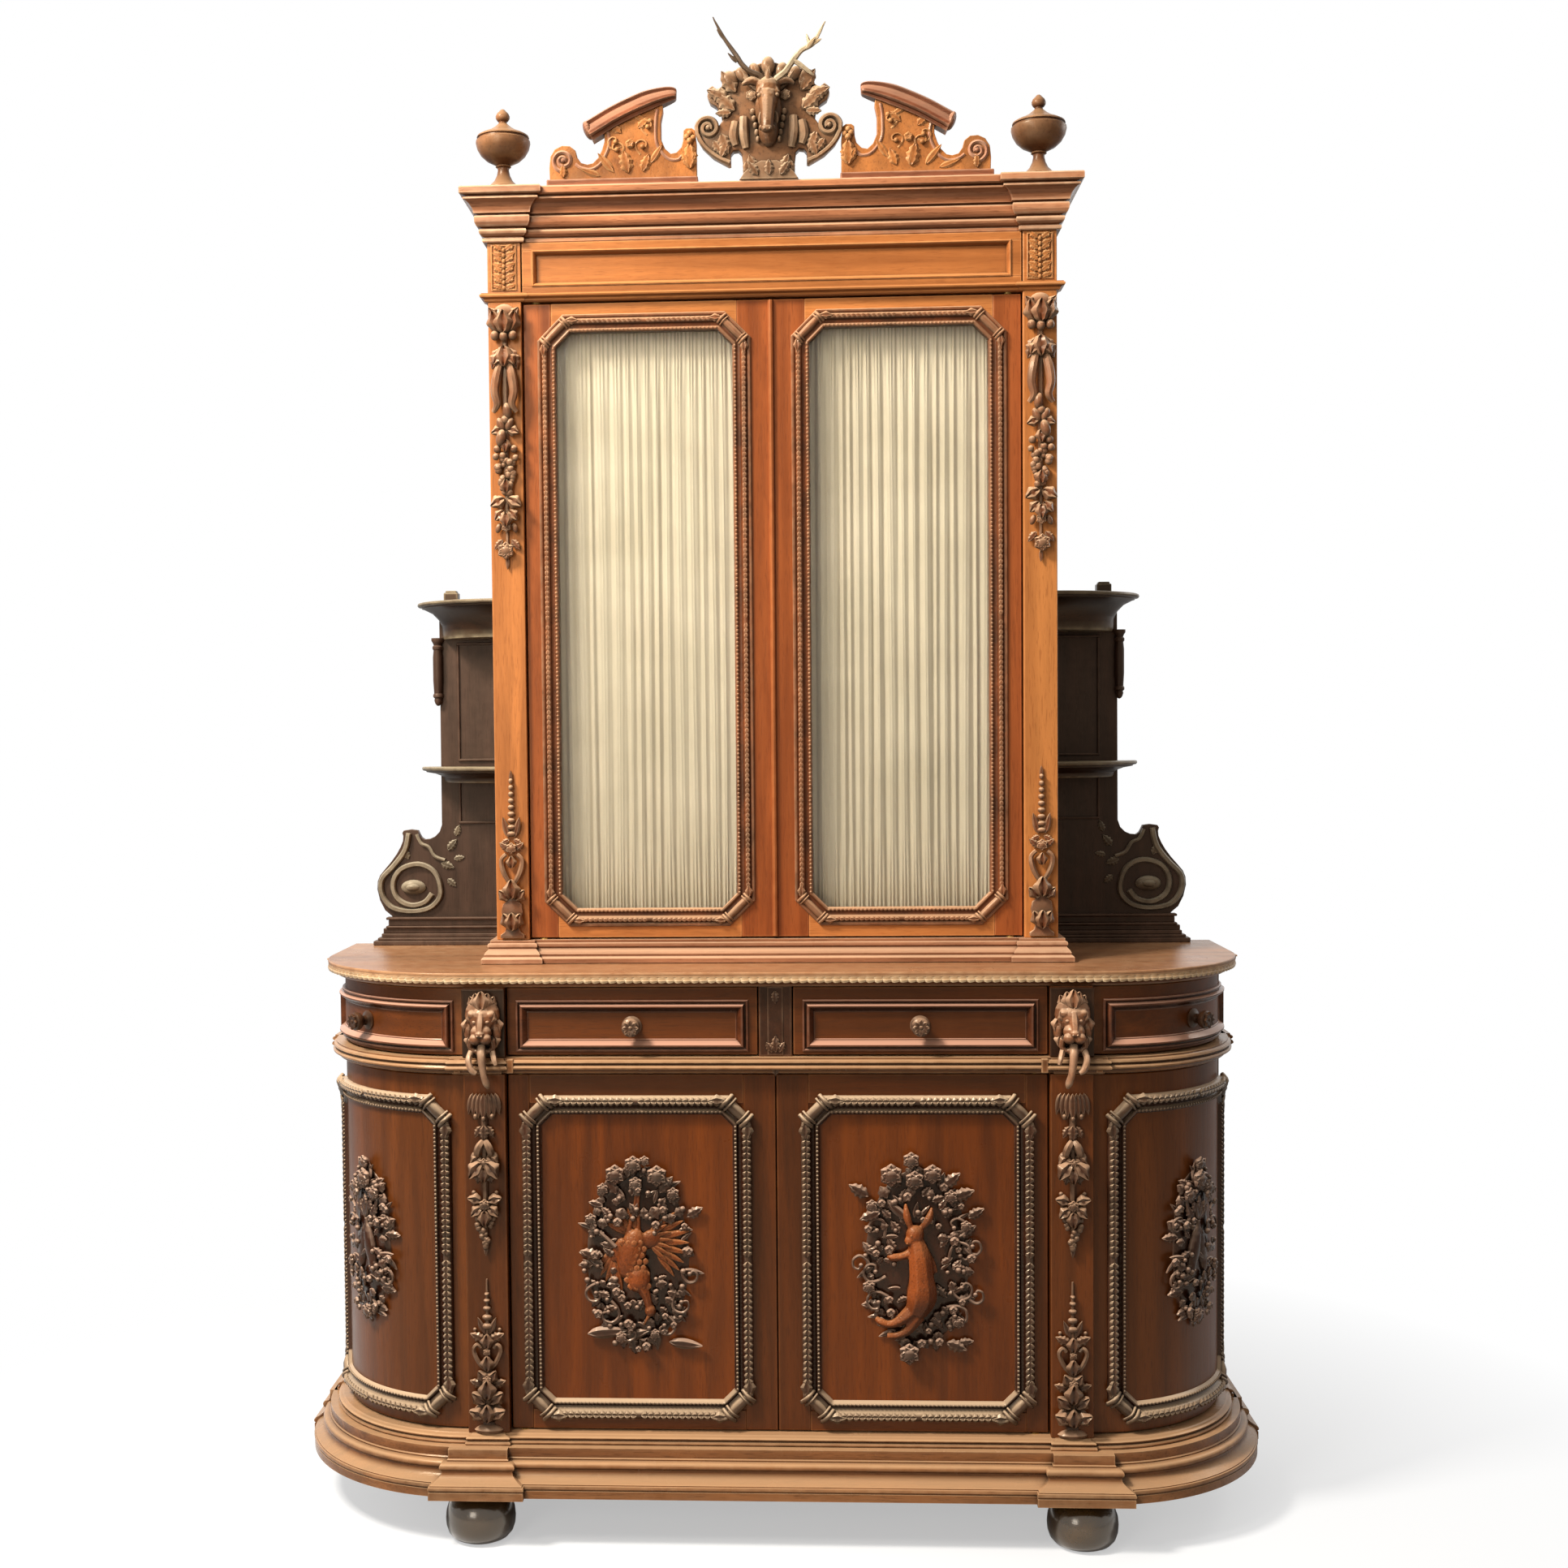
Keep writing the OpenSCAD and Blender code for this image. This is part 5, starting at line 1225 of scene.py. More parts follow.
def rosette(scale=1.0):
    """A turned knob with carved petals round its face"""
    knob = turned([(0, 0), (17, 0), (17.5, 2), (13, 4), (9, 7), (8.5, 12), (11, 16), (15, 20), (16.6, 24.5), (15.6, 29),
            (12, 32), (8, 33.2), (5.6, 32.4), (4.6, 34.6), (2.4, 36.4), (0, 36.8)], steps=28)
    knob.data.transform(turn(90, "X"))
    petals = flower(15, 8, 2.2, 12, 0.2)
    petals.data.transform(move(0, -30.4))
    part = gather([knob, petals])
    part.data.transform(size(scale))
    return part


def make_drawers():
    x0, x1, z0, z1 = 31.5, 473.5, 897, 1016
    f0, f1, g0, g1 = 47.5, 457.5, 903, 994
    face = [board(x0, x1, DOOR_Y, DOOR_Y + 20, z0, z1, 1.4)]
    frame_ring = moulding(RIBS, [(f0, DOOR_Y, g0), (f1, DOOR_Y, g0), (f1, DOOR_Y, g1), (f0, DOOR_Y, g1)], (0, -1, 0),
            True)
    paired(gather(face), "drawer_board", "walnut lower level", "walnut", "drawer_front", bodies="middle_drawer")
    paired(frame_ring, "drawer_frame_ribs", "drawer ribs", "walnut", bodies="middle_drawer")
    knob = rosette()
    paired(copy_of(knob, move(252.5, DOOR_Y, 948.5)), "drawer_rosette_knob", "carved lower", "carved_walnut",
            "drawer_knob", bodies="middle_drawer")
    arc = END_R * math.pi / 2
    door = bent_board(246, 266, 0.65, 90, z0, z1)
    route = [(19, DOOR_Y, g0), (arc - 19, DOOR_Y, g0), (arc - 19, DOOR_Y, g1), (19, DOOR_Y, g1)]
    ring = wrapped(fine_cut(moulding([(o, max(u, 0.3)) for o, u in RIBS], route, (0, -1, 0), True), 9, 19, arc - 19))
    paired(door, "end_drawer_board", "walnut lower level", "walnut", "end_drawer_front", bodies="rounded_drawer")
    paired(ring, "end_drawer_frame_ribs", "drawer ribs", "walnut", bodies="rounded_drawer")
    at = copy_of(knob, move(ARC_X, ARC_Y, 948.5) @ turn(45, "Z") @ move(0, -END_R - 0.3))
    paired(at, "end_drawer_rosette_knob", "shadowed walnut", "carved_walnut", "end_drawer_knob",
            bodies="rounded_drawer")
    scrap(knob)


KEPT = {"case boards": ("base_back_panel", "base_case_sides", "shelves", "upper_case_boards", "upper_back_panel"),
        "walnut lower upright": ("drawer_dividers",), "old glass": ("door_glass_left", "door_glass_right"),
        "dull brass": ("door_pivot_pins", "curtain_rods_left", "curtain_rods_right"), "inner oak": ("drawer_box_left",
        "drawer_box_right", "end_drawer_box_left", "end_drawer_box_right")}

# Carved work: units that are cut once and set many times

SPRAY = leaf(46, 30, 6, lobes=4, depth=0.3, vein=2.4, thick=3, rows=14)
BLADE = leaf(54, 17, 4, lobes=0, vein=1.6, thick=2.5, curl=3, rows=8)
PLUME = leaf(70, 15, 4.5, lobes=0, vein=2.0, thick=2.5, rows=8)
ROSE = flower(17, 6, 4.5, 18, 0.34)
INNER_ROSE = flower(9, 5, 4, 30, 0.3)
BERRY = ball(0, 0, 0, 5, 5, 5, rings=7)
BROAD = leaf(34, 34, 7, lobes=3, depth=0.22, vein=2.0, thick=3, curl=2, rows=10)
PLUMP = leaf(40, 38, 11, lobes=2, depth=0.22, vein=6, thick=6, curl=6, rows=10)
POD = ball(0, -4, -12, 8, 8, 14, rings=10)
UNITS = {"plump": PLUMP, "pod": POD, "broad": BROAD, "spray": SPRAY, "blade": BLADE, "plume": PLUME, "rose": ROSE,
        "bud": INNER_ROSE, "berry": BERRY}


def set_units(spots):
    """Copies of carved units, each given as unit, x, z, lean, scale, how far forward and, if any, its tilt"""
    return [place(UNITS[spot[0]], spot[1], -spot[5], *spot[2:5], *spot[6:]) for spot in spots]


def matched(*spots):
    """Units set in pairs: as given on the right, and the other way round on the left"""
    return set_units([(unit, s * x, z, s * lean, *rest) for s in (-1, 1) for unit, x, z, lean, *rest in spots])


def limbs(spots, sides=10):
    """A limb and its twin on the other side"""
    return [limb([(s * x, *rest) for x, *rest in spots], sides) for s in (-1, 1)]


def balls(x, y, z, rx, ry, rz, tilt=0, rings=10):
    """A lump and its twin on the other side"""
    return [ball(s * x, y, z, rx, ry, rz, s * tilt, rings=rings) for s in (-1, 1)]


def full_rose(x, z, scale=1.0, forward=8.0):
    petals = set_units([("rose", x, z, 0, scale, forward), ("rose", x, z, 36, scale * 0.78, forward + 3 * scale)])
    return petals + [ball(x, -forward - 2 * scale, z, 12.5 * scale, 10 * scale, 12 * scale, rings=8)]


def leafy_ring(rx, rz, count, seed, gap=()):
    """Leaves and small blossoms round an oval in three layers, turned outward with the unevenness of handwork"""
    rand = random.Random(seed)
    spots = []
    for layer, (share, scale, forward, tilt, many) in enumerate(((1.0, 0.84, 9, 13, 1.0), (0.78, 0.74, 14, 12, 0.85),
            (0.52, 0.7, 13, 6, 0.55))):
        n = int(count * many)
        for i in range(n):
            a = 360 * (i + 0.5 * layer) / n + rand.uniform(-6, 6)
            if layer and any(low < a % 360 < high for low, high in gap):
                continue
            x, z = rx * share * math.sin(math.radians(a)) * 0.7, rz * share * math.cos(math.radians(a)) * 0.78
            unit = rand.choice(("spray", "spray", "blade", "broad"))
            spots.append((unit, x, z, a + rand.uniform(-56, 56), scale * rand.uniform(0.5, 0.88), forward, tilt))
            if rand.random() < 0.62:
                bit = rand.choice(("berry", "berry", "bud"))
                spots.append((bit, x * 1.12 + rand.uniform(-8, 8), z * 1.08 + rand.uniform(-9, 9), 0,
                        rand.uniform(0.7, 1.15), forward + 3))
    return spots


def tendril(x, z, reach, lean, hand=1, thick=2.4, forward=6.0):
    """A thin curled shoot with a berry in its eye"""
    path = [(0, 0), (0.32, 0.30), (0.42, 0.66), (0.14, 0.94), (-0.22, 0.86), (-0.30, 0.58), (-0.06, 0.48)]
    c, s = math.cos(math.radians(lean)), math.sin(math.radians(lean))
    spots = []
    for i, (u, v) in enumerate(path):
        u, v = u * reach * hand, v * reach
        spots.append((x + u * c + v * s, -forward - i * 0.8, z - u * s + v * c, thick * (1 - 0.07 * i)))
    end = spots[-1]
    return [limb(spots, 8), ball(end[0], end[1] - 1, end[2], 4.2, 4, 4.2, rings=7)]


def bird():
    """A game bird hung by its feet, head down, one wing spread"""
    body = blended([ball(-10, -11, 8, 25, 15, 46, 14), ball(2, -14, -34, 21, 14, 26, 8),
            limb([(8, -12, -50, 13), (16, -13, -68, 9), (20, -13, -84, 7.5)]), ball(22, -14, -92, 10, 9, 11),
            limb([(-18, -8, 34, 8), (-12, -8, 62, 4.5), (-4, -8, 96, 3), (-2, -8, 122, 3)]),
            limb([(-2, -8, 34, 8), (2, -8, 62, 4.5), (2, -8, 96, 3), (4, -8, 122, 3)]),
            ball(24, -9, 34, 20, 8, 17, -30), ball(-34, -7, 14, 12, 7, 24, 24)], 1.7, 2)
    beak = limb([(20, -16, -99, 3.6), (14, -16, -110, 2.4), (10, -14, -118, 0.8)])
    eye = ball(18, -21, -90, 2.2, 2, 2.2, rings=6)
    rows = [body, beak, eye]
    for i in range(8):
        rows.append(place(PLUME, 20 + i * 2, -3 - i * 0.7, 44 - i * 5, 52 + i * 13, 0.98 - 0.05 * abs(i - 2)))
    for i in range(6):
        rows.append(place(PLUME, 20 + i, -9 - i * 0.6, 42 - i * 4, 60 + i * 15, 0.56))
    for i in range(6):
        rows.append(place(PLUME, -34 - i, -3 - i * 0.6, 22 - i * 6, 224 - i * 11, 0.82))
    for i in range(5):
        rows.append(place(PLUME, -14 + i * 3, -3 - i * 0.5, 40, -62 + i * 16, 0.72))
    scale = leaf(13, 12, 2.0, vein=0.6, thick=1.0, rows=4)
    for level in range(8):
        for i in range(4):
            x = -26 + i * 11 + (5 if level % 2 else 0) + level * 1.2
            rows.append(place(scale, x, -23.5 + abs(x + 6 - level) * 0.28, 36 - level * 11, 182 + (i - 1.5) * 7, 1.0))
    scrap(scale)
    return rows


def hare():
    """A hare with raised ears, one forepaw out and its hind legs drawn to the side"""
    body = blended([limb([(-4, -13, 34, 15), (3, -16, 6, 21), (6, -17, -30, 23), (6, -16, -62, 28), (-4, -12, -92, 20)],
            14), ball(-5, -16, 46, 16, 13, 17, 12), ball(-14, -20, 36, 10, 8, 9), limb([(-12, -16, 56, 5),
            (-19, -16, 78, 7.5), (-21, -13, 100, 2.5)]), limb([(5, -15, 56, 5), (19, -15, 74, 7.5),
            (25, -12, 93, 2.5)]), limb([(-8, -16, 16, 9), (-28, -18, 8, 7), (-44, -16, 6, 8), (-52, -14, 10, 5)]),
            limb([(12, -14, 14, 9), (24, -15, -4, 6.5), (30, -12, -22, 5)]), limb([(-6, -16, -86, 16),
            (-30, -18, -104, 11), (-50, -18, -112, 7), (-66, -16, -108, 7), (-74, -13, -102, 4)]),
            limb([(0, -15, -96, 14), (-18, -17, -122, 9), (-36, -16, -132, 6.5), (-54, -14, -134, 6.5)])], 1.7, 2)
    return [body, ball(-12, -27, 46, 2.2, 2, 2.4, rings=6), ball(-19, -27, 33, 2.4, 2, 2, rings=6)]


def fish():
    """Two fish hung crosswise, tails up"""
    parts = []
    for lean, x, forward in ((14, -9, 11), (-16, 12, 7)):
        body = blended([ball(0, 0, -8, 14, 9, 44), ball(0, 0, -40, 11, 8, 20), limb([(0, 0, 20, 7), (0, 0, 44, 3.5)])],
                1.6, 2)
        tail = [place(BLADE, 0, 0, 44, a, 0.62) for a in (-32, 32, 0)]
        fins = [place(BLADE, s * 10, -2, -12, s * 118, 0.42) for s in (-1, 1)]
        eye = ball(3, -7, -44, 2.4, 2.2, 2.4, rings=6)
        part = gather([body, eye] + tail + fins)
        part.data.transform(move(x, -forward) @ turn(lean, "Y"))
        parts.append(part)
    return parts


def carved_piece(parts, at=(0, 0, 0), degrees=40):
    part = gather(parts)
    part.data.transform(move(*at))
    return soften(part, degrees)


def mound(rx, ry, rz):
    """The low ground of a trophy, from which its leaves are undercut"""
    return ball(0, 1, 0, rx, ry, rz, rings=16)


def roses(forward, *spots):
    """Full roses at x, z and scale"""
    return [part for x, z, scale in spots for part in full_rose(x, z, scale, forward)]


def shoots(thick, forward, *spots):
    """Curled shoots at x, z, reach, lean and hand"""
    return [part for spot in spots for part in tendril(*spot, thick, forward)]


def make_trophies():
    x0, z0, y = 246.25, 536.5, -186
    left = [mound(92, 10, 158)] + set_units(leafy_ring(112, 186, 44, 3, [(60, 112)]))
    left += roses(13, (-6, 168, 1.0), (-38, 150, 1.15), (36, 148, 1.2), (-2, 134, 0.8), (14, 174, 0.6), (-60, 124, 0.7),
            (64, 116, 0.75), (-82, 70, 0.7), (-30, -140, 0.7), (30, -134, 0.6))
    left += set_units([("spray", -36, 116, -30, 0.7, 14), ("spray", 40, 118, 40, 0.8, 13),
            ("broad", -24, 90, 200, 0.7, 14), ("spray", -66, 2, -70, 0.8, 15), ("spray", 88, 74, 60, 0.7, 7),
            ("blade", -90, -136, 84, 1.3, 7), ("blade", 54, -150, 96, 1.1, 7), ("blade", -40, -150, 70, 1.2, 6),
            ("broad", 26, 92, 150, 0.7, 14)])
    left += [limb([(-88, -12, 62, 2.6), (-62, -16, 44, 3), (-38, -18, 22, 3.6)], 8)]
    left += shoots(3.2, 12, (-70, -44, 36, 200, 1), (-48, -76, 40, 186, -1), (66, -62, 38, 150, 1),
            (44, -100, 38, 165, -1), (-18, -112, 36, 175, 1), (78, -20, 32, 120, 1))
    part = carved_piece(left, (-x0, y, z0))
    finished(part, "bird_garland", "carved trophy", "middle_door_left", "carved_walnut", "base_door_trophy_left")
    finished(carved_piece(bird(), (-x0, y - 3, z0), 85), "bird_carving", "lit animal", "middle_door_left",
            "carved_walnut")
    right = [mound(92, 10, 158)] + set_units(leafy_ring(112, 186, 44, 8, [(236, 262)]))
    right += roses(13, (-11, 176, 0.95), (-46, 150, 1.3), (-5, 141, 1.1), (26, 152, 1.1), (-16, -166, 1.2),
            (58, 112, 0.8), (-80, 96, 0.7), (84, 60, 0.65), (-86, -48, 0.75), (70, -110, 0.7))
    right += set_units([("spray", 46, 130, 50, 0.8, 13), ("spray", 62, 110, 70, 0.85, 13),
            ("spray", 88, 74, 60, 0.7, 8), ("spray", -86, 112, -60, 0.85, 9), ("spray", -66, 84, -110, 0.8, 14),
            ("blade", -50, 100, 130, 0.9, 15), ("spray", 50, -148, 110, 0.8, 8), ("spray", 70, -150, 80, 0.6, 6)])
    right += shoots(3.2, 12, (52, 40, 42, 40, 1), (54, 0, 44, 60, -1), (56, -44, 42, 110, 1), (50, -84, 42, 130, -1),
            (-58, 40, 38, -40, 1), (-56, -30, 42, -70, -1), (-52, -66, 40, -110, 1), (80, 20, 32, 80, 1),
            (84, -60, 32, 100, 1), (-84, -10, 32, -80, 1))
    part = carved_piece(right, (x0, y, z0))
    finished(part, "hare_garland", "carved trophy", "middle_door_right", "carved_walnut", "base_door_trophy_right")
    finished(carved_piece(hare(), (x0, y - 3, z0), 85), "hare_carving", "lit animal", "middle_door_right",
            "carved_walnut")
    ends = [mound(54, 9, 128)] + fish() + set_units(leafy_ring(74, 158, 34, 12))
    ends += roses(11, (0, 116, 1.2), (-26, 92, 0.9), (28, 96, 0.95), (2, 144, 0.8), (-4, -128, 0.9), (30, -90, 0.6))
    ends += shoots(2.8, 9, (-34, 30, 34, -60, 1), (36, 16, 34, 60, -1), (-36, -52, 34, -110, 1), (36, -60, 34, 110, -1),
            (-10, -104, 30, 190, 1))
    part = gather(ends)
    part.data.transform(move(END_R * math.pi / 4, DOOR_Y - 0.4, 546.5))
    part = soften(wrapped(part), 40)
    paired(part, "end_trophy", "carved trophy", "carved_walnut", "end_door_trophy", bodies="rounded_door")


def make_masks():
    """Animal masks under a crest of leaves, with bulging muzzles, open mouths and hanging tongues"""
    face = blended([ball(0, -9, 18, 31, 17, 34), ball(0, -19, 12, 22, 14, 22), *balls(15, -21, 20, 10, 9, 8, -18),
            ball(0, -27, -10, 19, 16, 15), *balls(9, -35, -20, 10.5, 10, 10), ball(0, -42, -11, 7.5, 6, 5.6),
            limb([(0, -26, 24, 6), (0, -33, 6, 8), (0, -39, -8, 7)]), ball(0, -17, -44, 14, 12, 8),
            *balls(23, -9, -12, 10, 10, 18), *limbs([(18, -24, -22, 6), (20, -20, -36, 5.6), (12, -20, -45, 5)])], 1.3,
            2)
    parts = [face] + balls(11, -29, 9, 4.2, 3.4, 3.2, rings=8) + balls(3.8, -47, -13, 2, 1.8, 1.8, rings=6)
    parts.append(limb([(0, -24, -34, 7), (-1, -33, -48, 7.4), (-3, -37, -66, 6.6), (-6, -38, -84, 6),
            (-10, -36, -98, 6.4), (-12, -33, -106, 3)], 12))
    parts.append(limb([(18, -18, -42, 5.4), (22, -30, -58, 6), (16, -35, -74, 6), (8, -36, -80, 4)], 12))
    parts.append(limb([(-18, -18, -42, 5), (-23, -30, -56, 5), (-26, -32, -66, 3)], 10))
    for lean, x, z, scale, forward in ((-24, -13, 32, 0.52, 8), (24, 13, 32, 0.52, 8), (-10, -6, 30, 0.7, 15),
            (10, 6, 30, 0.7, 15), (0, 0, 28, 0.84, 19), (-166, -24, 12, 0.6, 10), (166, 24, 12, 0.6, 10),
            (-172, -20, -14, 0.6, 11), (172, 20, -14, 0.6, 11), (-24, -16, 8, 0.44, 21), (24, 16, 8, 0.44, 21)):
        parts.append(place(PLUMP, x, -forward, z, lean, scale, 8))
    paired(board(PIL_MID - 38, PIL_MID + 38, PIL_Y - 3, PIL_Y + 1, 896, 1016, 1.4), "mask_ground", "shadowed walnut",
            "walnut")
    part = carved_piece(parts, (PIL_MID, PIL_Y, 953), 45)
    paired(part, "lion_masks", "carved mask", "carved_walnut", "animal_masks")


def base_drop():
    """The hanging carving under a mask, drawn from its top downward"""
    parts = []
    for i in range(7):
        x = (i - 3) * 6.6
        parts += set_units([("blade", x, 0, 180 - (i - 3) * 4, 0.86 - abs(i - 3) * 0.05, 2 + (3 - abs(i - 3)) * 2.2)])
        if i % 2:
            parts.append(ball(x * 1.1, -11 + abs(i - 3), -44 + abs(i - 3) * 1.6, 4.2, 5, 5.4, rings=8))
    parts += set_units([("spray", 0, -56, 180, 0.6, 8)])
    parts += matched(("spray", 5, -58, 150, 0.5, 5), ("plump", 5, -110, 128, 0.62, 7), ("plump", 4, -120, 142, 0.86,
            13), ("pod", 16, -104, -20, 0.7, 5), ("spray", 6, -128, 168, 0.7, 9), ("plump", 6, -190, 76, 0.62, 7),
            ("plump", 5, -200, 130, 0.62, 9), ("berry", 20, -176, 0, 0.8, 6), ("berry", 14, -222, 0, 1.0, 7))
    parts += limbs([(2, -9, -84, 5), (8, -14, -93, 7), (12, -13, -104, 6.6), (10, -8, -112, 4)])
    parts += full_rose(0, -122, 0.6, 14) + full_rose(0, -196, 0.66, 12)
    parts += set_units([("plump", 0, -128, 180, 0.7, 15), ("plump", 0, -206, 180, 0.7, 11)])
    rand = random.Random(4)
    for i in range(22):
        t = i / 21
        parts += set_units([("berry", rand.uniform(-1, 1) * 18 * (1 - t), -228 - 44 * t, 0, rand.uniform(0.8, 1.2),
                6 + rand.uniform(0, 5) * (1 - t))])
    parts += set_units([("blade", 0, -262, 180, 0.5, 4)])
    parts += [limb([(0, -4, -20, 6), (0, -5, -140, 5), (0, -4, -282, 2.4)], 8)]
    return parts


def base_foot_carving():
    """A candelabra of leaves rising from a vase at the foot of a base pilaster"""
    vase = turned([(0, 0), (24, 0), (26, 4), (20, 9), (11, 13), (10, 17), (18, 22), (27, 30), (28, 38), (22, 46),
            (13, 51), (14, 56), (19, 59), (0, 60)], steps=24)
    vase.data.transform(size(1, 0.5, 1))
    parts = [vase]
    parts += matched(("plump", 7, 30, 62, 0.7, 12), ("plump", 5, 54, 48, 0.74, 8), ("spray", 6, 84, 70, 0.6, 6),
            ("plump", 3, 92, 30, 0.6, 9), ("spray", 4, 166, 66, 0.62, 6), ("blade", 4, 176, 22, 0.6, 5),
            ("berry", 22, 184, 0, 0.7, 5))
    parts += limbs([(3, -6, 112, 4), (16, -9, 128, 4.4), (24, -9, 148, 4), (18, -8, 158, 3.6), (11, -8, 152, 3)])
    parts += set_units([("plump", 0, 22, 0, 0.8, 15), ("plump", 0, 62, 0, 0.9, 12), ("plump", 0, 112, 0, 0.7, 10),
            ("plump", 0, 152, 0, 0.66, 9)]) + full_rose(0, 96, 0.56, 14) + full_rose(0, 146, 0.44, 12)
    for z, r in ((190, 10), (206, 9), (222, 7.4), (236, 6), (248, 4.4)):
        parts.append(ball(0, -5, z, r, 7, r * 0.62, rings=8))
    parts += [limb([(0, -3, 50, 6), (0, -4, 160, 4.4), (0, -3, 274, 1.6)], 8)]
    return parts


def upper_drop():
    """Capital leaf, curled tips, pendant leaves, fruit, grapes, leaves and a ring flower, drawn downward"""
    parts = [ball(0, -3, -30, 26, 11, 32, rings=12)]
    parts += matched(("plump", 10, -48, 16, 0.92, 7), ("plump", 14, -22, 40, 0.5, 8), ("spray", 8, -78, 158, 0.86, 6),
            ("plump", 5, -88, 146, 0.6, 12), ("pod", 12, -204, 24, 0.9, 7), ("plump", 4, -222, 110, 0.56, 7),
            ("plump", 3, -346, 120, 0.72, 7), ("plump", 4, -368, 138, 0.6, 9), ("pod", 12, -392, -20, 0.66, 7),
            ("spray", 8, -420, 140, 0.5, 5))
    parts += balls(16, -12, -56, 8, 9, 9, rings=9) + balls(21, -8, -34, 5, 6, 8, rings=8)
    parts += balls(15, -10, -258, 7, 7, 7, rings=8)
    parts += limbs([(6, -8, -100, 6), (13, -14, -126, 8.4), (17, -16, -156, 8), (13, -15, -178, 6.6),
            (21, -11, -192, 4)], 12)
    parts += set_units([("plump", 0, -52, 0, 1.0, 12), ("plump", 0, -74, 180, 0.96, 9), ("pod", -3, -178, 8, 1.0, 10),
            ("pod", 4, -226, -14, 1.1, 12), ("plump", 0, -240, 180, 0.6, 10), ("plump", 0, -336, 0, 0.6, 10),
            ("plump", 0, -372, 180, 0.66, 13), ("berry", 0, -206, 0, 1.5, 12)])
    parts += [ball(0, -14, -58, 8, 9, 9, rings=9)]
    rand = random.Random(5)
    for i in range(34):
        t = i / 33
        parts += set_units([("berry", rand.uniform(-1, 1) * 20 * (1 - t * 0.7), -270 - 66 * t, 0,
                rand.uniform(1.0, 1.4), 7 + rand.uniform(0, 6) * (1 - t * 0.5))])
    parts += full_rose(0, -398, 0.6, 12) + full_rose(2, -440, 0.98, 7) + set_units([("blade", 0, -452, 180, 0.4, 4)])
    parts += [limb([(0, -3, -10, 5), (0, -4, -240, 5), (0, -3, -462, 2)], 8)]
    return parts


def upper_foot_carving():
    """A vase with a husk pendant of beads rising up the foot of an upper pilaster"""
    parts = [cut_out([[(-22, 0), (22, 0), (22, 6), (14, 12), (10, 24), (16, 34), (20, 48), (17, 62), (10, 68), (14, 76),
            (-14, 76), (-10, 68), (-17, 62), (-20, 48), (-16, 34), (-10, 24), (-14, 12), (-22, 6)]], 11, 2.6)]
    parts += matched(("plump", 4, 20, 24, 0.7, 11), ("plump", 6, 70, 44, 0.62, 8), ("spray", 4, 160, 52, 0.5, 5),
            ("spray", 4, 180, 120, 0.4, 5), ("blade", 6, 184, 14, 0.7, 4))
    parts += limbs([(3, -6, 98, 4), (15, -9, 120, 5), (19, -8, 142, 4.4), (10, -8, 153, 4)])
    parts += set_units([("plump", 0, 14, 0, 0.84, 13), ("plump", 0, 72, 0, 0.9, 11), ("plump", 0, 128, 0, 0.56, 9)])
    parts += full_rose(0, 164, 0.66, 8)
    for i in range(9):
        parts.append(ball(0, -5, 190 + i * 12, 8.4 - i * 0.5, 6.4, 5.2, rings=8))
    parts += set_units([("blade", 0, 284, 0, 0.4, 3)])
    return parts


def make_pilaster_carvings():
    drop = carved_piece(base_drop(), (PIL_MID, PIL_Y - 1, 833))
    foot = carved_piece(base_foot_carving(), (PIL_MID, PIL_Y, 228))
    paired(gather([drop, foot]), "base_pilaster_leafwork", "carved lower", "carved_walnut", "base_pilaster_carvings")
    drop = carved_piece(upper_drop(), (UP_PIL_MID, UP_PIL_Y, 2234))
    foot = carved_piece(upper_foot_carving(), (UP_PIL_MID, UP_PIL_Y, 1092))
    paired(gather([drop, foot]), "upper_pilaster_leafwork", "carved upper", "carved_walnut", "upper_pilaster_carvings")


RAIL = [(163, 2594), (174, 2594), (192, 2590), (215, 2583), (245, 2571), (275, 2557), (300, 2543), (321, 2531)]
FIELD = [(128, 2440), (390, 2440), (391, 2470), (389, 2490), (381, 2503), (368, 2509), (354, 2508), (344, 2500),
        (341, 2488), (334, 2478), (323, 2475), (313, 2477), (303, 2487), (297, 2499), (292, 2514), (292, 2530),
        (272, 2548), (240, 2566), (205, 2578), (188, 2578), (187, 2566), (191, 2547), (191, 2516), (184, 2499),
        (174, 2490), (164, 2492), (155, 2501), (152, 2512), (151, 2530), (146, 2534), (136, 2534), (131, 2530),
        (128, 2508)]


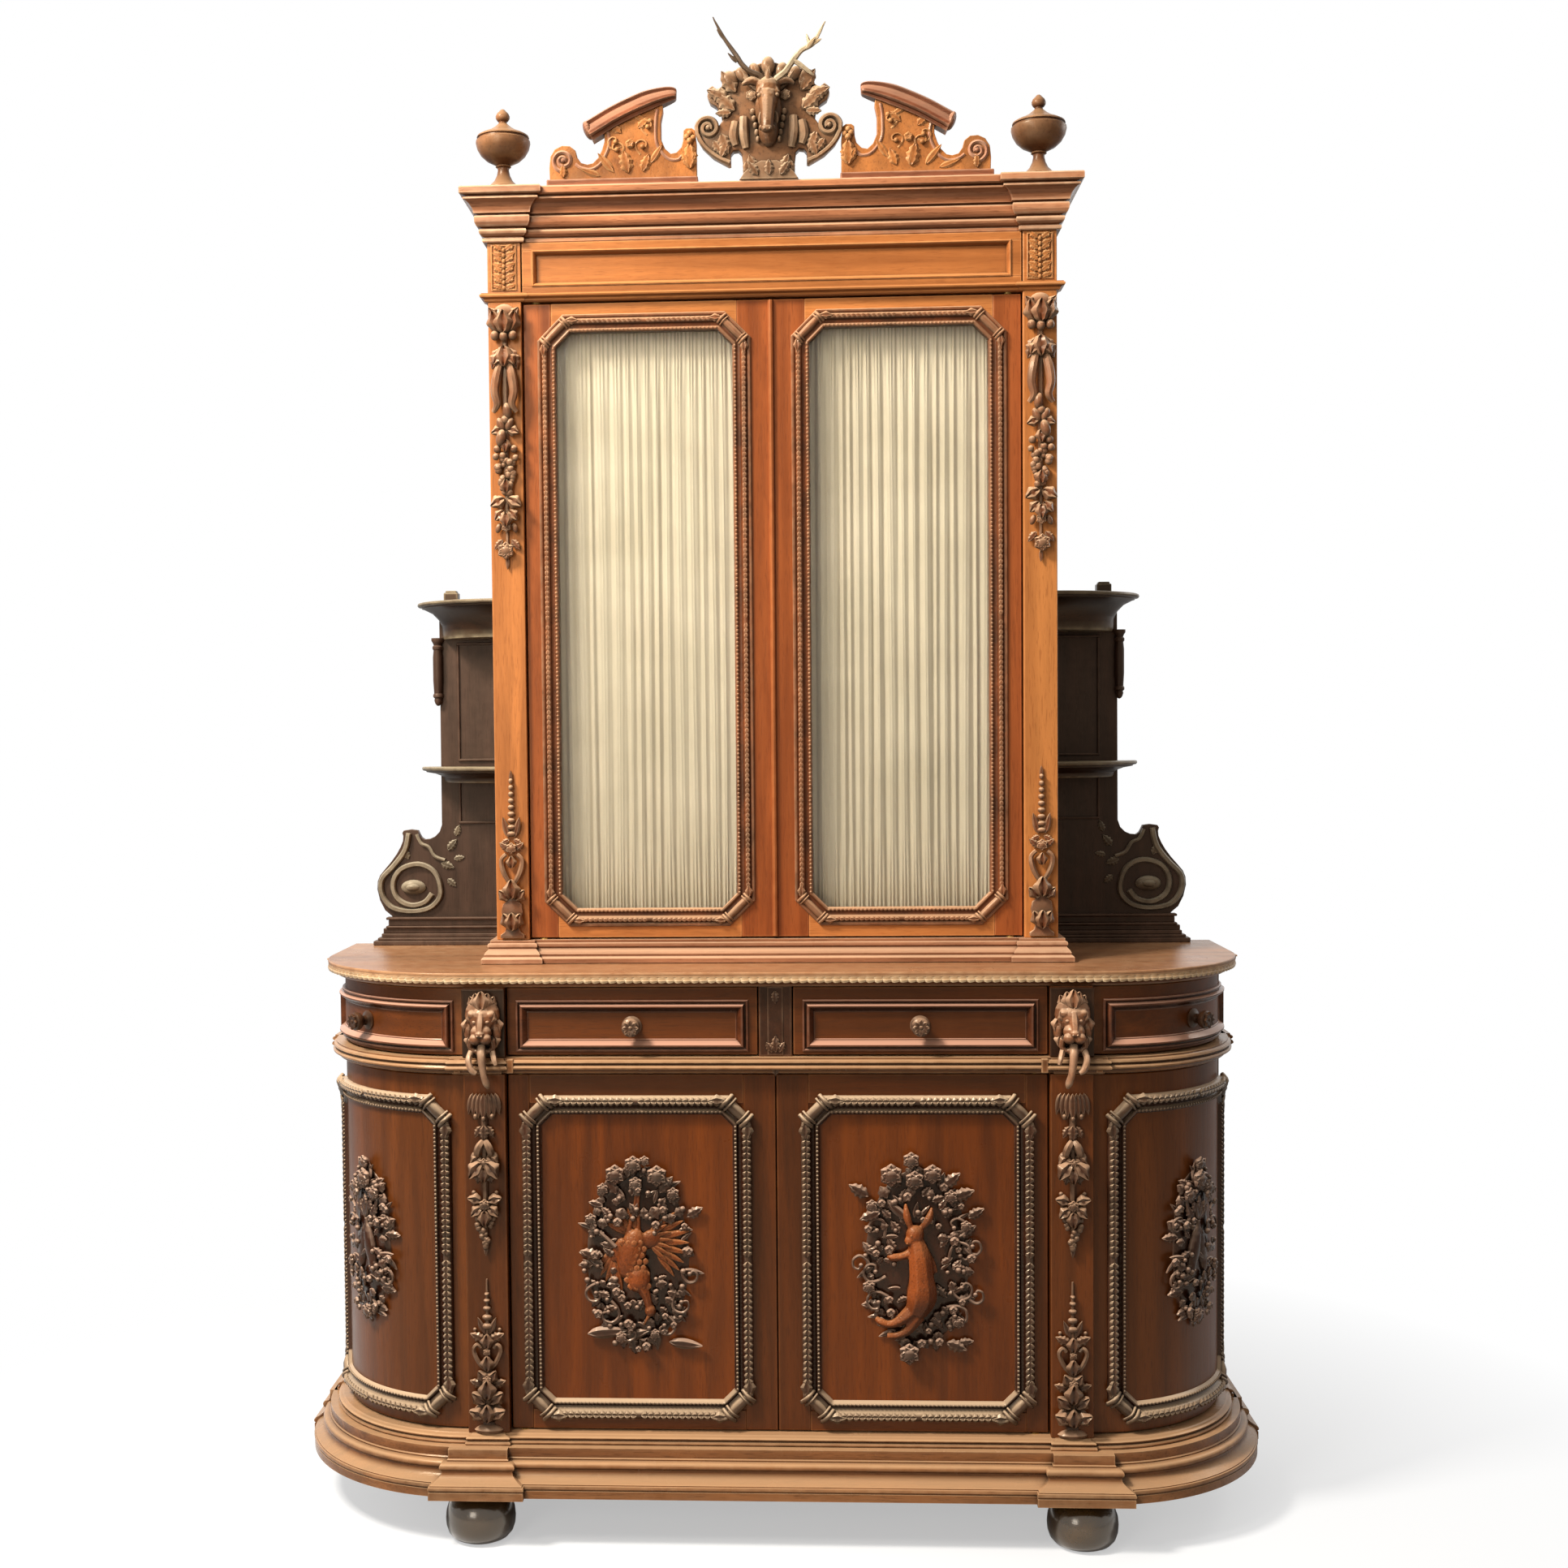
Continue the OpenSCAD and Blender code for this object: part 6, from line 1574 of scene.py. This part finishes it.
def make_pediments():
    """Half of a broken pediment: a sawn field with U-shaped cuts, a bowed rail, a carved block and a scroll"""
    path = rounded_line(RAIL, 4, False)
    n = len(path) - 1
    rail = swept(flanked([(-18, -17), (-18, 7), (-15, 12), (-12, 10), (-9, 9), (-4, 13), (3, 17), (9, 18), (12, 15),
            (13, 12), (15, 11), (18, 9), (18, -17)]), path, [min(1, 0.42 + 0.58 * (i / n / 0.45) ** 0.6) for i in
            range(n + 1)])
    rail.data.transform(move(0, UP_PIL_Y - 17))
    ground = cut_out([FIELD], 20, 1.6, UP_PIL_Y, 2)
    solid = [rail, ball(321, UP_PIL_Y - 17, 2535, 8, 17.6, 17, 22)]
    for points in ([(197, 2568), (200, 2548), (200, 2514), (192, 2495), (178, 2481), (162, 2479), (154, 2486)],
            [(286, 2532), (283, 2512), (289, 2493), (300, 2475), (316, 2466), (334, 2469), (344, 2476)]):
        line = swept([(-2.6, -2), (2.6, -2), (2.6, 1.4), (0, 3), (-2.6, 1.4)], rounded_line(points, 5, False))
        line.data.transform(move(0, UP_PIL_Y - 20))
        solid.append(line)
    solid.append(board(126, 396, UP_PIL_Y - 24, UP_PIL_Y, CREST_Z - 0.4, 2449, 2))
    eye = swept([(-3.4, -3), (3.4, -3), (3.4, 2), (0, 5), (-3.4, 2)], spiral(366, 2482, 19, 3, -80, 560, 46))
    eye.data.transform(move(0, UP_PIL_Y - 20))
    solid += [eye, ball(366, UP_PIL_Y - 22, 2482, 4.4, 4, 4.4)]
    carved = set_units([("spray", 140, 2462, 0, 1.0, 21), ("berry", 134, 2516, 0, 1.1, 22),
            ("berry", 145, 2518, 0, 1.1, 22), ("berry", 140, 2524, 0, 1.1, 22), ("berry", 140, 2510, 0, 1.2, 24),
            ("spray", 138, 2470, -22, 0.5, 24), ("spray", 144, 2470, 22, 0.5, 24), ("spray", 366, 2452, 0, 0.5, 22),
            ("berry", 210, 2548, 0, 0.9, 21)])
    carved += set_units([(unit, x, z, lean, scale, 19) for unit, x, z, lean, scale in (("spray", 224, 2460, -20, 0.7),
            ("spray", 250, 2458, 12, 0.9), ("blade", 276, 2460, 40, 0.8), ("blade", 210, 2474, -34, 0.7),
            ("spray", 232, 2536, -50, 0.6), ("spray", 262, 2528, 44, 0.6), ("bud", 246, 2508, 0, 1.1),
            ("blade", 218, 2548, 60, 0.6), ("blade", 300, 2454, 70, 0.7))])
    for x, z, lean, hand in ((228, 2490, -10, 1), (266, 2486, 10, -1), (216, 2524, 0, 1), (262, 2504, 60, 1)):
        carved += tendril(x, z, 26, lean, hand, 2.4, 19)
    for piece in carved:
        piece.data.transform(move(0, UP_PIL_Y))
    paired(ground, "pediment_stippled_field", "stippled ground", "walnut", "pediments")
    paired(gather(solid), "pediment_rails", "pediment rail", "walnut")
    paired(carved_piece(carved), "pediment_carving", "stippled ground", "carved_walnut")


CREST_SIDE = [(0, 2646), (14, 2643), (30, 2638), (46, 2634), (60, 2632), (74, 2622), (80, 2606), (90, 2599), (99, 2606),
        (106, 2601), (108, 2588), (103, 2576), (92, 2569), (84, 2557), (82, 2544), (88, 2536), (99, 2545), (111, 2551),
        (123, 2548), (130, 2536), (128, 2518), (117, 2499), (98, 2481), (71, 2466), (67, 2467), (67, 2485), (62, 2491),
        (54, 2492), (48, 2486), (46, 2470), (46, 2440), (0, 2440)]


def make_cartouche():
    side = CREST_SIDE
    outline = side + [(-x, z) for x, z in reversed(side[1:-1])]
    body = cut_out([outline], 24, 3.0, UP_PIL_Y, 2)
    parts = [body]
    y = UP_PIL_Y - 24
    band = swept([(-4, -4), (4, -4), (4.4, 2), (2, 6), (-2, 6), (-4.4, 2)], rounded_line([(69, 2470), (88, 2479),
            (106, 2492), (118, 2506), (126, 2522)], 4, False) + spiral(107, 2531, 20, 4, 8, 560, 48))
    band.data.transform(move(0, y))
    half = [band, ball(107, y - 2, 2531, 5, 6, 5)]
    half.append(limb([(58, y - 1, 2540, 8), (62, y - 3, 2516, 9), (58, y - 2, 2500, 6)], 12))
    half.append(limb([(44, y - 1, 2548, 8), (44, y - 5, 2518, 9), (40, y - 3, 2494, 6)], 12))
    for x, z, lean, scale, forward in ((60, 2560, 48, 1.0, 2), (72, 2580, 66, 0.86, 3), (58, 2592, 34, 0.96, 1),
            (66, 2556, 92, 0.6, 4), (84, 2520, 200, 0.8, 1), (74, 2508, 160, 0.7, 2), (98, 2508, 215, 0.6, 1),
            (40, 2470, 190, 0.6, 3), (24, 2452, 20, 0.7, 2)):
        half.append(place(SPRAY, x, y - forward, z, lean, scale))
    half.append(ball(68, y - 1, 2614, 15, 8, 16, 30))
    half.append(ball(82, y, 2590, 10, 6, 12, 50))
    for x, z, lean in ((24, 2628, 16), (46, 2622, 34)):
        half.append(ball(x, y - 3, z, 10.5, 7, 14, lean))
        half.append(limb([(x * 0.45, y - 2, 2596, 4), (x * 0.8, y - 5, 2612, 5.4), (x * 1.02, y - 5, z + 5, 5)], 10))
    for piece in full_rose(30, 2584, 0.62, 6):
        piece.data.transform(move(0, y))
        half.append(piece)
    for i in range(5):
        half.append(ball(28 - i * 2.2, y - 5, 2556 - i * 12, 5 - i * 0.3, 5, 6))
    half = gather(half)
    parts += [half, mirrored(half)]
    parts += [ball(0, y - 5, 2636, 12, 8, 16), limb([(0, y - 3, 2598, 4), (0, y - 7, 2620, 6), (0, y - 8, 2640, 5)],
            10)]
    foot = cut_out([[(-52, 2438), (52, 2438), (44, 2450), (30, 2462), (14, 2470), (-14, 2470), (-30, 2462),
            (-44, 2450)]], 12, 2.4, y + 1)
    parts += [foot] + [place(SPRAY, x, y - 11, 2444, lean, 0.6) for x, lean in ((-20, -34), (0, 0), (20, 34))]
    finished(carved_piece(parts), "crest_carving", "carved crest", "case", "carved_walnut", "crest_cartouche")


def make_stag():
    """The stag's head, antlers rising beside the fan of the crest"""
    y = CREST_Y
    head = blended([ball(0, y - 14, 2590, 22, 19, 24), ball(0, y - 22, 2570, 17, 17, 22),
            limb([(0, y - 20, 2580, 17), (-1, y - 33, 2550, 13), (-2, y - 42, 2524, 11), (-2, y - 44, 2512, 9.5)], 14),
            ball(-2, y - 47, 2513, 10.5, 8, 7), ball(0, y - 6, 2560, 24, 14, 34), ball(0, y - 4, 2524, 18, 12, 30),
            *limbs([(13, y - 24, 2588, 6), (17, y - 27, 2580, 5)]), *limbs([(14, y - 12, 2602, 7),
            (30, y - 16, 2606, 8), (46, y - 16, 2600, 3)]), ball(-12, y - 30, 2520, 5, 6, 5),
            ball(8, y - 30, 2520, 5, 6, 5)], 1.6, 2)
    parts = [head] + balls(15.5, y - 29, 2577, 4, 3.6, 3.6, rings=8)
    parts += [ball(s * 4.6 - 2, y - 54, 2512, 2, 1.8, 1.8, rings=6) for s in (-1, 1)]
    parts += [place(BLADE, x, y - 26, z, lean, 0.42) for x, z, lean in ((0, 2606, 180), (-7, 2602, 168), (7, 2602, 192),
            (-12, 2550, 190), (12, 2550, 170), (0, 2600, 0))]
    antlers = [limb([(-9, y - 16, 2604, 6), (-14, y - 18, 2614, 5), (-32, y - 18, 2622, 4.6), (-45, y - 17, 2634, 4.4),
            (-56, y - 16, 2651, 4.2), (-79, y - 15, 2685, 3.2), (-96, y - 14, 2719, 1.2)], 10),
            limb([(-54, y - 17, 2640, 3.6), (-62, y - 18, 2646, 3.4), (-70, y - 19, 2654, 0.8)], 8),
            limb([(-76, y - 15, 2680, 3.2), (-83, y - 16, 2688, 3), (-89, y - 17, 2696, 0.8)], 8),
            limb([(9, y - 16, 2602, 6), (15, y - 19, 2608, 5.4), (30, y - 22, 2618, 5.6), (46, y - 22, 2640, 5.2),
            (60, y - 20, 2656, 4.6), (79, y - 17, 2667, 4.2), (91, y - 15, 2688, 3), (101, y - 14, 2706, 1.2)], 10),
            limb([(44, y - 22, 2638, 4.4), (56, y - 22, 2630, 4.4), (72, y - 20, 2618, 3.4), (80, y - 18, 2612, 1.4)],
            8), limb([(74, y - 18, 2664, 3.6), (70, y - 19, 2676, 2.6), (68, y - 19, 2684, 0.8)], 8)]
    for part in antlers:
        for point in part.data.vertices:
            n = math.sin(point.co.z * 0.9 + point.co.x * 1.3)
            point.co.x += 0.35 * n
            point.co.y += 0.35 * math.cos(point.co.z * 1.1)
    right = antlers[3:] + [place(BLADE, 66, y - 21, 2656, 40, 0.5), place(BLADE, 74, y - 19, 2664, 64, 0.42)]
    # the left antler carries the painted-shade copy of the antler finish, the right one the painted-light copy
    finished(carved_piece(antlers[:3], degrees=50), "antler_left", "antler in painted shade", "case", "carved_walnut")
    finished(carved_piece(right, degrees=50), "antler_right", "antler in painted light", "case", "carved_walnut")
    finished(carved_piece(parts, degrees=70), "stag_carving", "carved crest", "case", "carved_walnut", "stag_head")


def make_small_work():
    """Frieze end leaves, post leaf, panel top leaf and the tabs beside the masks"""
    leafwork = []
    for i in range(8):
        z = 2264 + i * 9.6
        for s in (-1, 1):
            leafwork.append(place(SPRAY, UP_PIL_MID + s * 3, -0.5, z, s * (52 if i % 2 else 72), 0.42))
            leafwork.append(ball(UP_PIL_MID + s * (15 if i % 2 else 9), -1, z + 5, 3, 3, 3, rings=6))
        leafwork.append(ball(UP_PIL_MID, -2, z, 3.6, 3.4, 4.4, rings=7))
    leafwork.append(moulding([(0, 0), (0, 2), (-1.6, 2.6), (-3, 1.4), (-3, -0.5), (0, -0.5)],
            [(UP_PIL_MID + x, 0, z) for x, z in ((-23, 2260), (23, 2260), (23, 2341), (-23, 2341))], (0, -1, 0), True))
    part = carved_piece(leafwork, (0, UP_PIL_Y, 0))
    paired(part, "frieze_end_leaves", "stippled ground", "carved_walnut")
    post = [board(-14, 14, DOOR_Y - 3, DOOR_Y + 8, DRAWER_Z + 2, COUNTER_Z - 2, 1.4)]
    post += [board(-28, 28, DOOR_Y - 1.5, DOOR_Y + 6, DRAWER_Z + 1, COUNTER_Z - 1, 0.8)]
    for x, z, lean, scale in ((0, 902, 0, 0.62), (-6, 902, -30, 0.44), (6, 902, 30, 0.44), (0, 1010, 180, 0.5)):
        post.append(place(SPRAY, x, DOOR_Y - 3, z, lean, scale))
    post.append(place(SPRAY, 0, DOOR_Y - 15, 882, 180, 0.44))
    finished(gather(post), "drawer_post_carving", "carved lower", "case", "carved_walnut")
    tabs = []
    for s in (-1, 1):
        tabs.append(board(PIL_MID + s * 47 - 6, PIL_MID + s * 47 + 6, PIL_Y - 7, PIL_Y + 14, 868, 893, 1.6))
    paired(gather(tabs), "waist_tabs", "walnut moulding", "walnut")


def dress_the_kept():
    """Gives the exact solids that show as they are their finishes"""
    for finish, nodes in KEPT.items():
        for part in bpy.data.objects:
            if part.name.split(".")[0] in nodes:
                with_finish(part, finish)


def ray_kinds(t):
    """Whether a ray is the camera's, and whether it is the camera's, a mirrored or a passing one"""
    path = put(t, "LightPath").outputs
    through = reckon(t, "MAXIMUM", path["Is Glossy Ray"], path["Is Transmission Ray"])
    return path["Is Camera Ray"], reckon(t, "MAXIMUM", path["Is Camera Ray"], through)


def make_studio():
    """Pale floor, white backdrop for the camera and for mirrored and passing rays, soft lamps"""
    quiet()
    bpy.ops.mesh.primitive_plane_add(size=30, location=(0, 0, 0))
    floor = bpy.context.object
    floor.name = "studio floor"
    t, surface, where = plain("pale floor", Roughness=0.9, Specular_IOR_Level=0.1)
    camera, seen = ray_kinds(t)
    pale = ramp(t, noise(t, where["Object"], 1.5, 2), (0.3, srgb(250, 250, 250)), (0.7, srgb(252, 252, 252)))
    feed(t, surface["Base Color"], blend_colour(t, seen, srgb(150, 146, 140), pale))
    far = put(t, "VectorMath", {0: where["Object"]}, operation="LENGTH").outputs["Value"]
    reach = put(t, "MapRange", {"Value": far, "From Min": 0.5, "From Max": 1.9, "To Min": 0.45, "To Max": 1})
    shine = put(t, "Emission", {"Color": (1, 1, 1, 1), "Strength": 1})
    both = put(t, "MixShader", {0: times(t, reach.outputs["Result"], camera), 1: t.nodes["Principled BSDF"].outputs[0],
            2: shine.outputs[0]})
    feed(t, t.nodes["Material Output"].inputs["Surface"], both.outputs[0])
    with_finish(floor, "pale floor")
    world = bpy.data.worlds.new("studio")
    bpy.context.scene.world = world
    world.use_nodes = True
    t = world.node_tree
    t.nodes.clear()
    seen = ray_kinds(t)[1]
    soft = put(t, "Background", {"Color": (1, 0.985, 0.965, 1), "Strength": 0.25})
    white = put(t, "Background", {"Color": (1, 1, 1, 1), "Strength": 1})
    mixed = put(t, "MixShader", {0: seen, 1: soft.outputs[0], 2: white.outputs[0]})
    put(t, "OutputWorld", {"Surface": mixed.outputs[0]})
    for name, at, aim, power, wide, tint in (("key lamp", (-2.3, -1.9, 4.2), (-0.1, 0, 1.3), 262, 0.8,
            (1, 0.965, 0.91)), ("side lamp", (-1.1, -2.1, 2.8), (-0.3, 0, 2.1), 26, 0.7, (1, 0.97, 0.92)),
            ("fill lamp", (-1.7, -3.6, 1.5), (-0.2, 0, 1.0), 28, 1.2, (1, 0.98, 0.95)),
            ("rim lamp", (3.2, 1.4, 3.0), (0, 0, 1.6), 20, 1.2, (1, 0.99, 0.97))):
        lamp = bpy.data.lights.new(name, "AREA")
        lamp.energy = power
        lamp.size = wide
        lamp.color = tint
        rig = bpy.data.objects.new(name, lamp)
        bpy.context.collection.objects.link(rig)
        rig.location = at
        rig.rotation_euler = (Vector(aim) - Vector(at)).to_track_quat("-Z", "Y").to_euler()


def make_camera():
    yaw, pitch, roll = math.radians(3.11), math.radians(-2.53), math.radians(-0.58)
    ahead = Vector((-math.sin(yaw), math.cos(yaw), 0))
    across = Vector((math.cos(yaw), math.sin(yaw), 0))
    ahead = ahead * math.cos(pitch) + Vector((0, 0, 1)) * math.sin(pitch)
    above = across.cross(ahead)
    across = across * math.cos(roll) + above * math.sin(roll)
    above = across.cross(ahead)
    lens = bpy.data.cameras.new("camera")
    lens.sensor_width = 36
    lens.lens = 2426 / 1932 * 36
    lens.shift_x = (966 - 854) / 1932
    lens.shift_y = (1007 - 966) / 1932
    camera = bpy.data.objects.new("camera", lens)
    bpy.context.collection.objects.link(camera)
    camera.matrix_world = move(0.046, -3.626, 1.467 - FLOOR_Z / 1000) @ Matrix((across, above,
            -ahead)).transposed().to_4x4()
    bpy.context.scene.camera = camera
    bpy.context.scene.view_settings.view_transform = "Standard"


for make in (make_feet, make_plinth, make_bottom_board, make_waist, make_counter, make_pilasters, make_base_doors,
        make_end_doors, make_drawers, make_upper_mouldings, make_frieze, make_upper_doors, make_niches, make_urns,
        make_trophies, make_masks, make_pilaster_carvings, make_pediments, make_cartouche, make_stag, make_small_work):
    make()
make_curtain(-1, "left")
make_curtain(1, "right")
dress_the_kept()
make_studio()
make_camera()
for template in [EDGE_LEAF, BEAD_LEAF, SMALL_LEAF, PEARL, CLASP] + list(UNITS.values()):
    scrap(template)
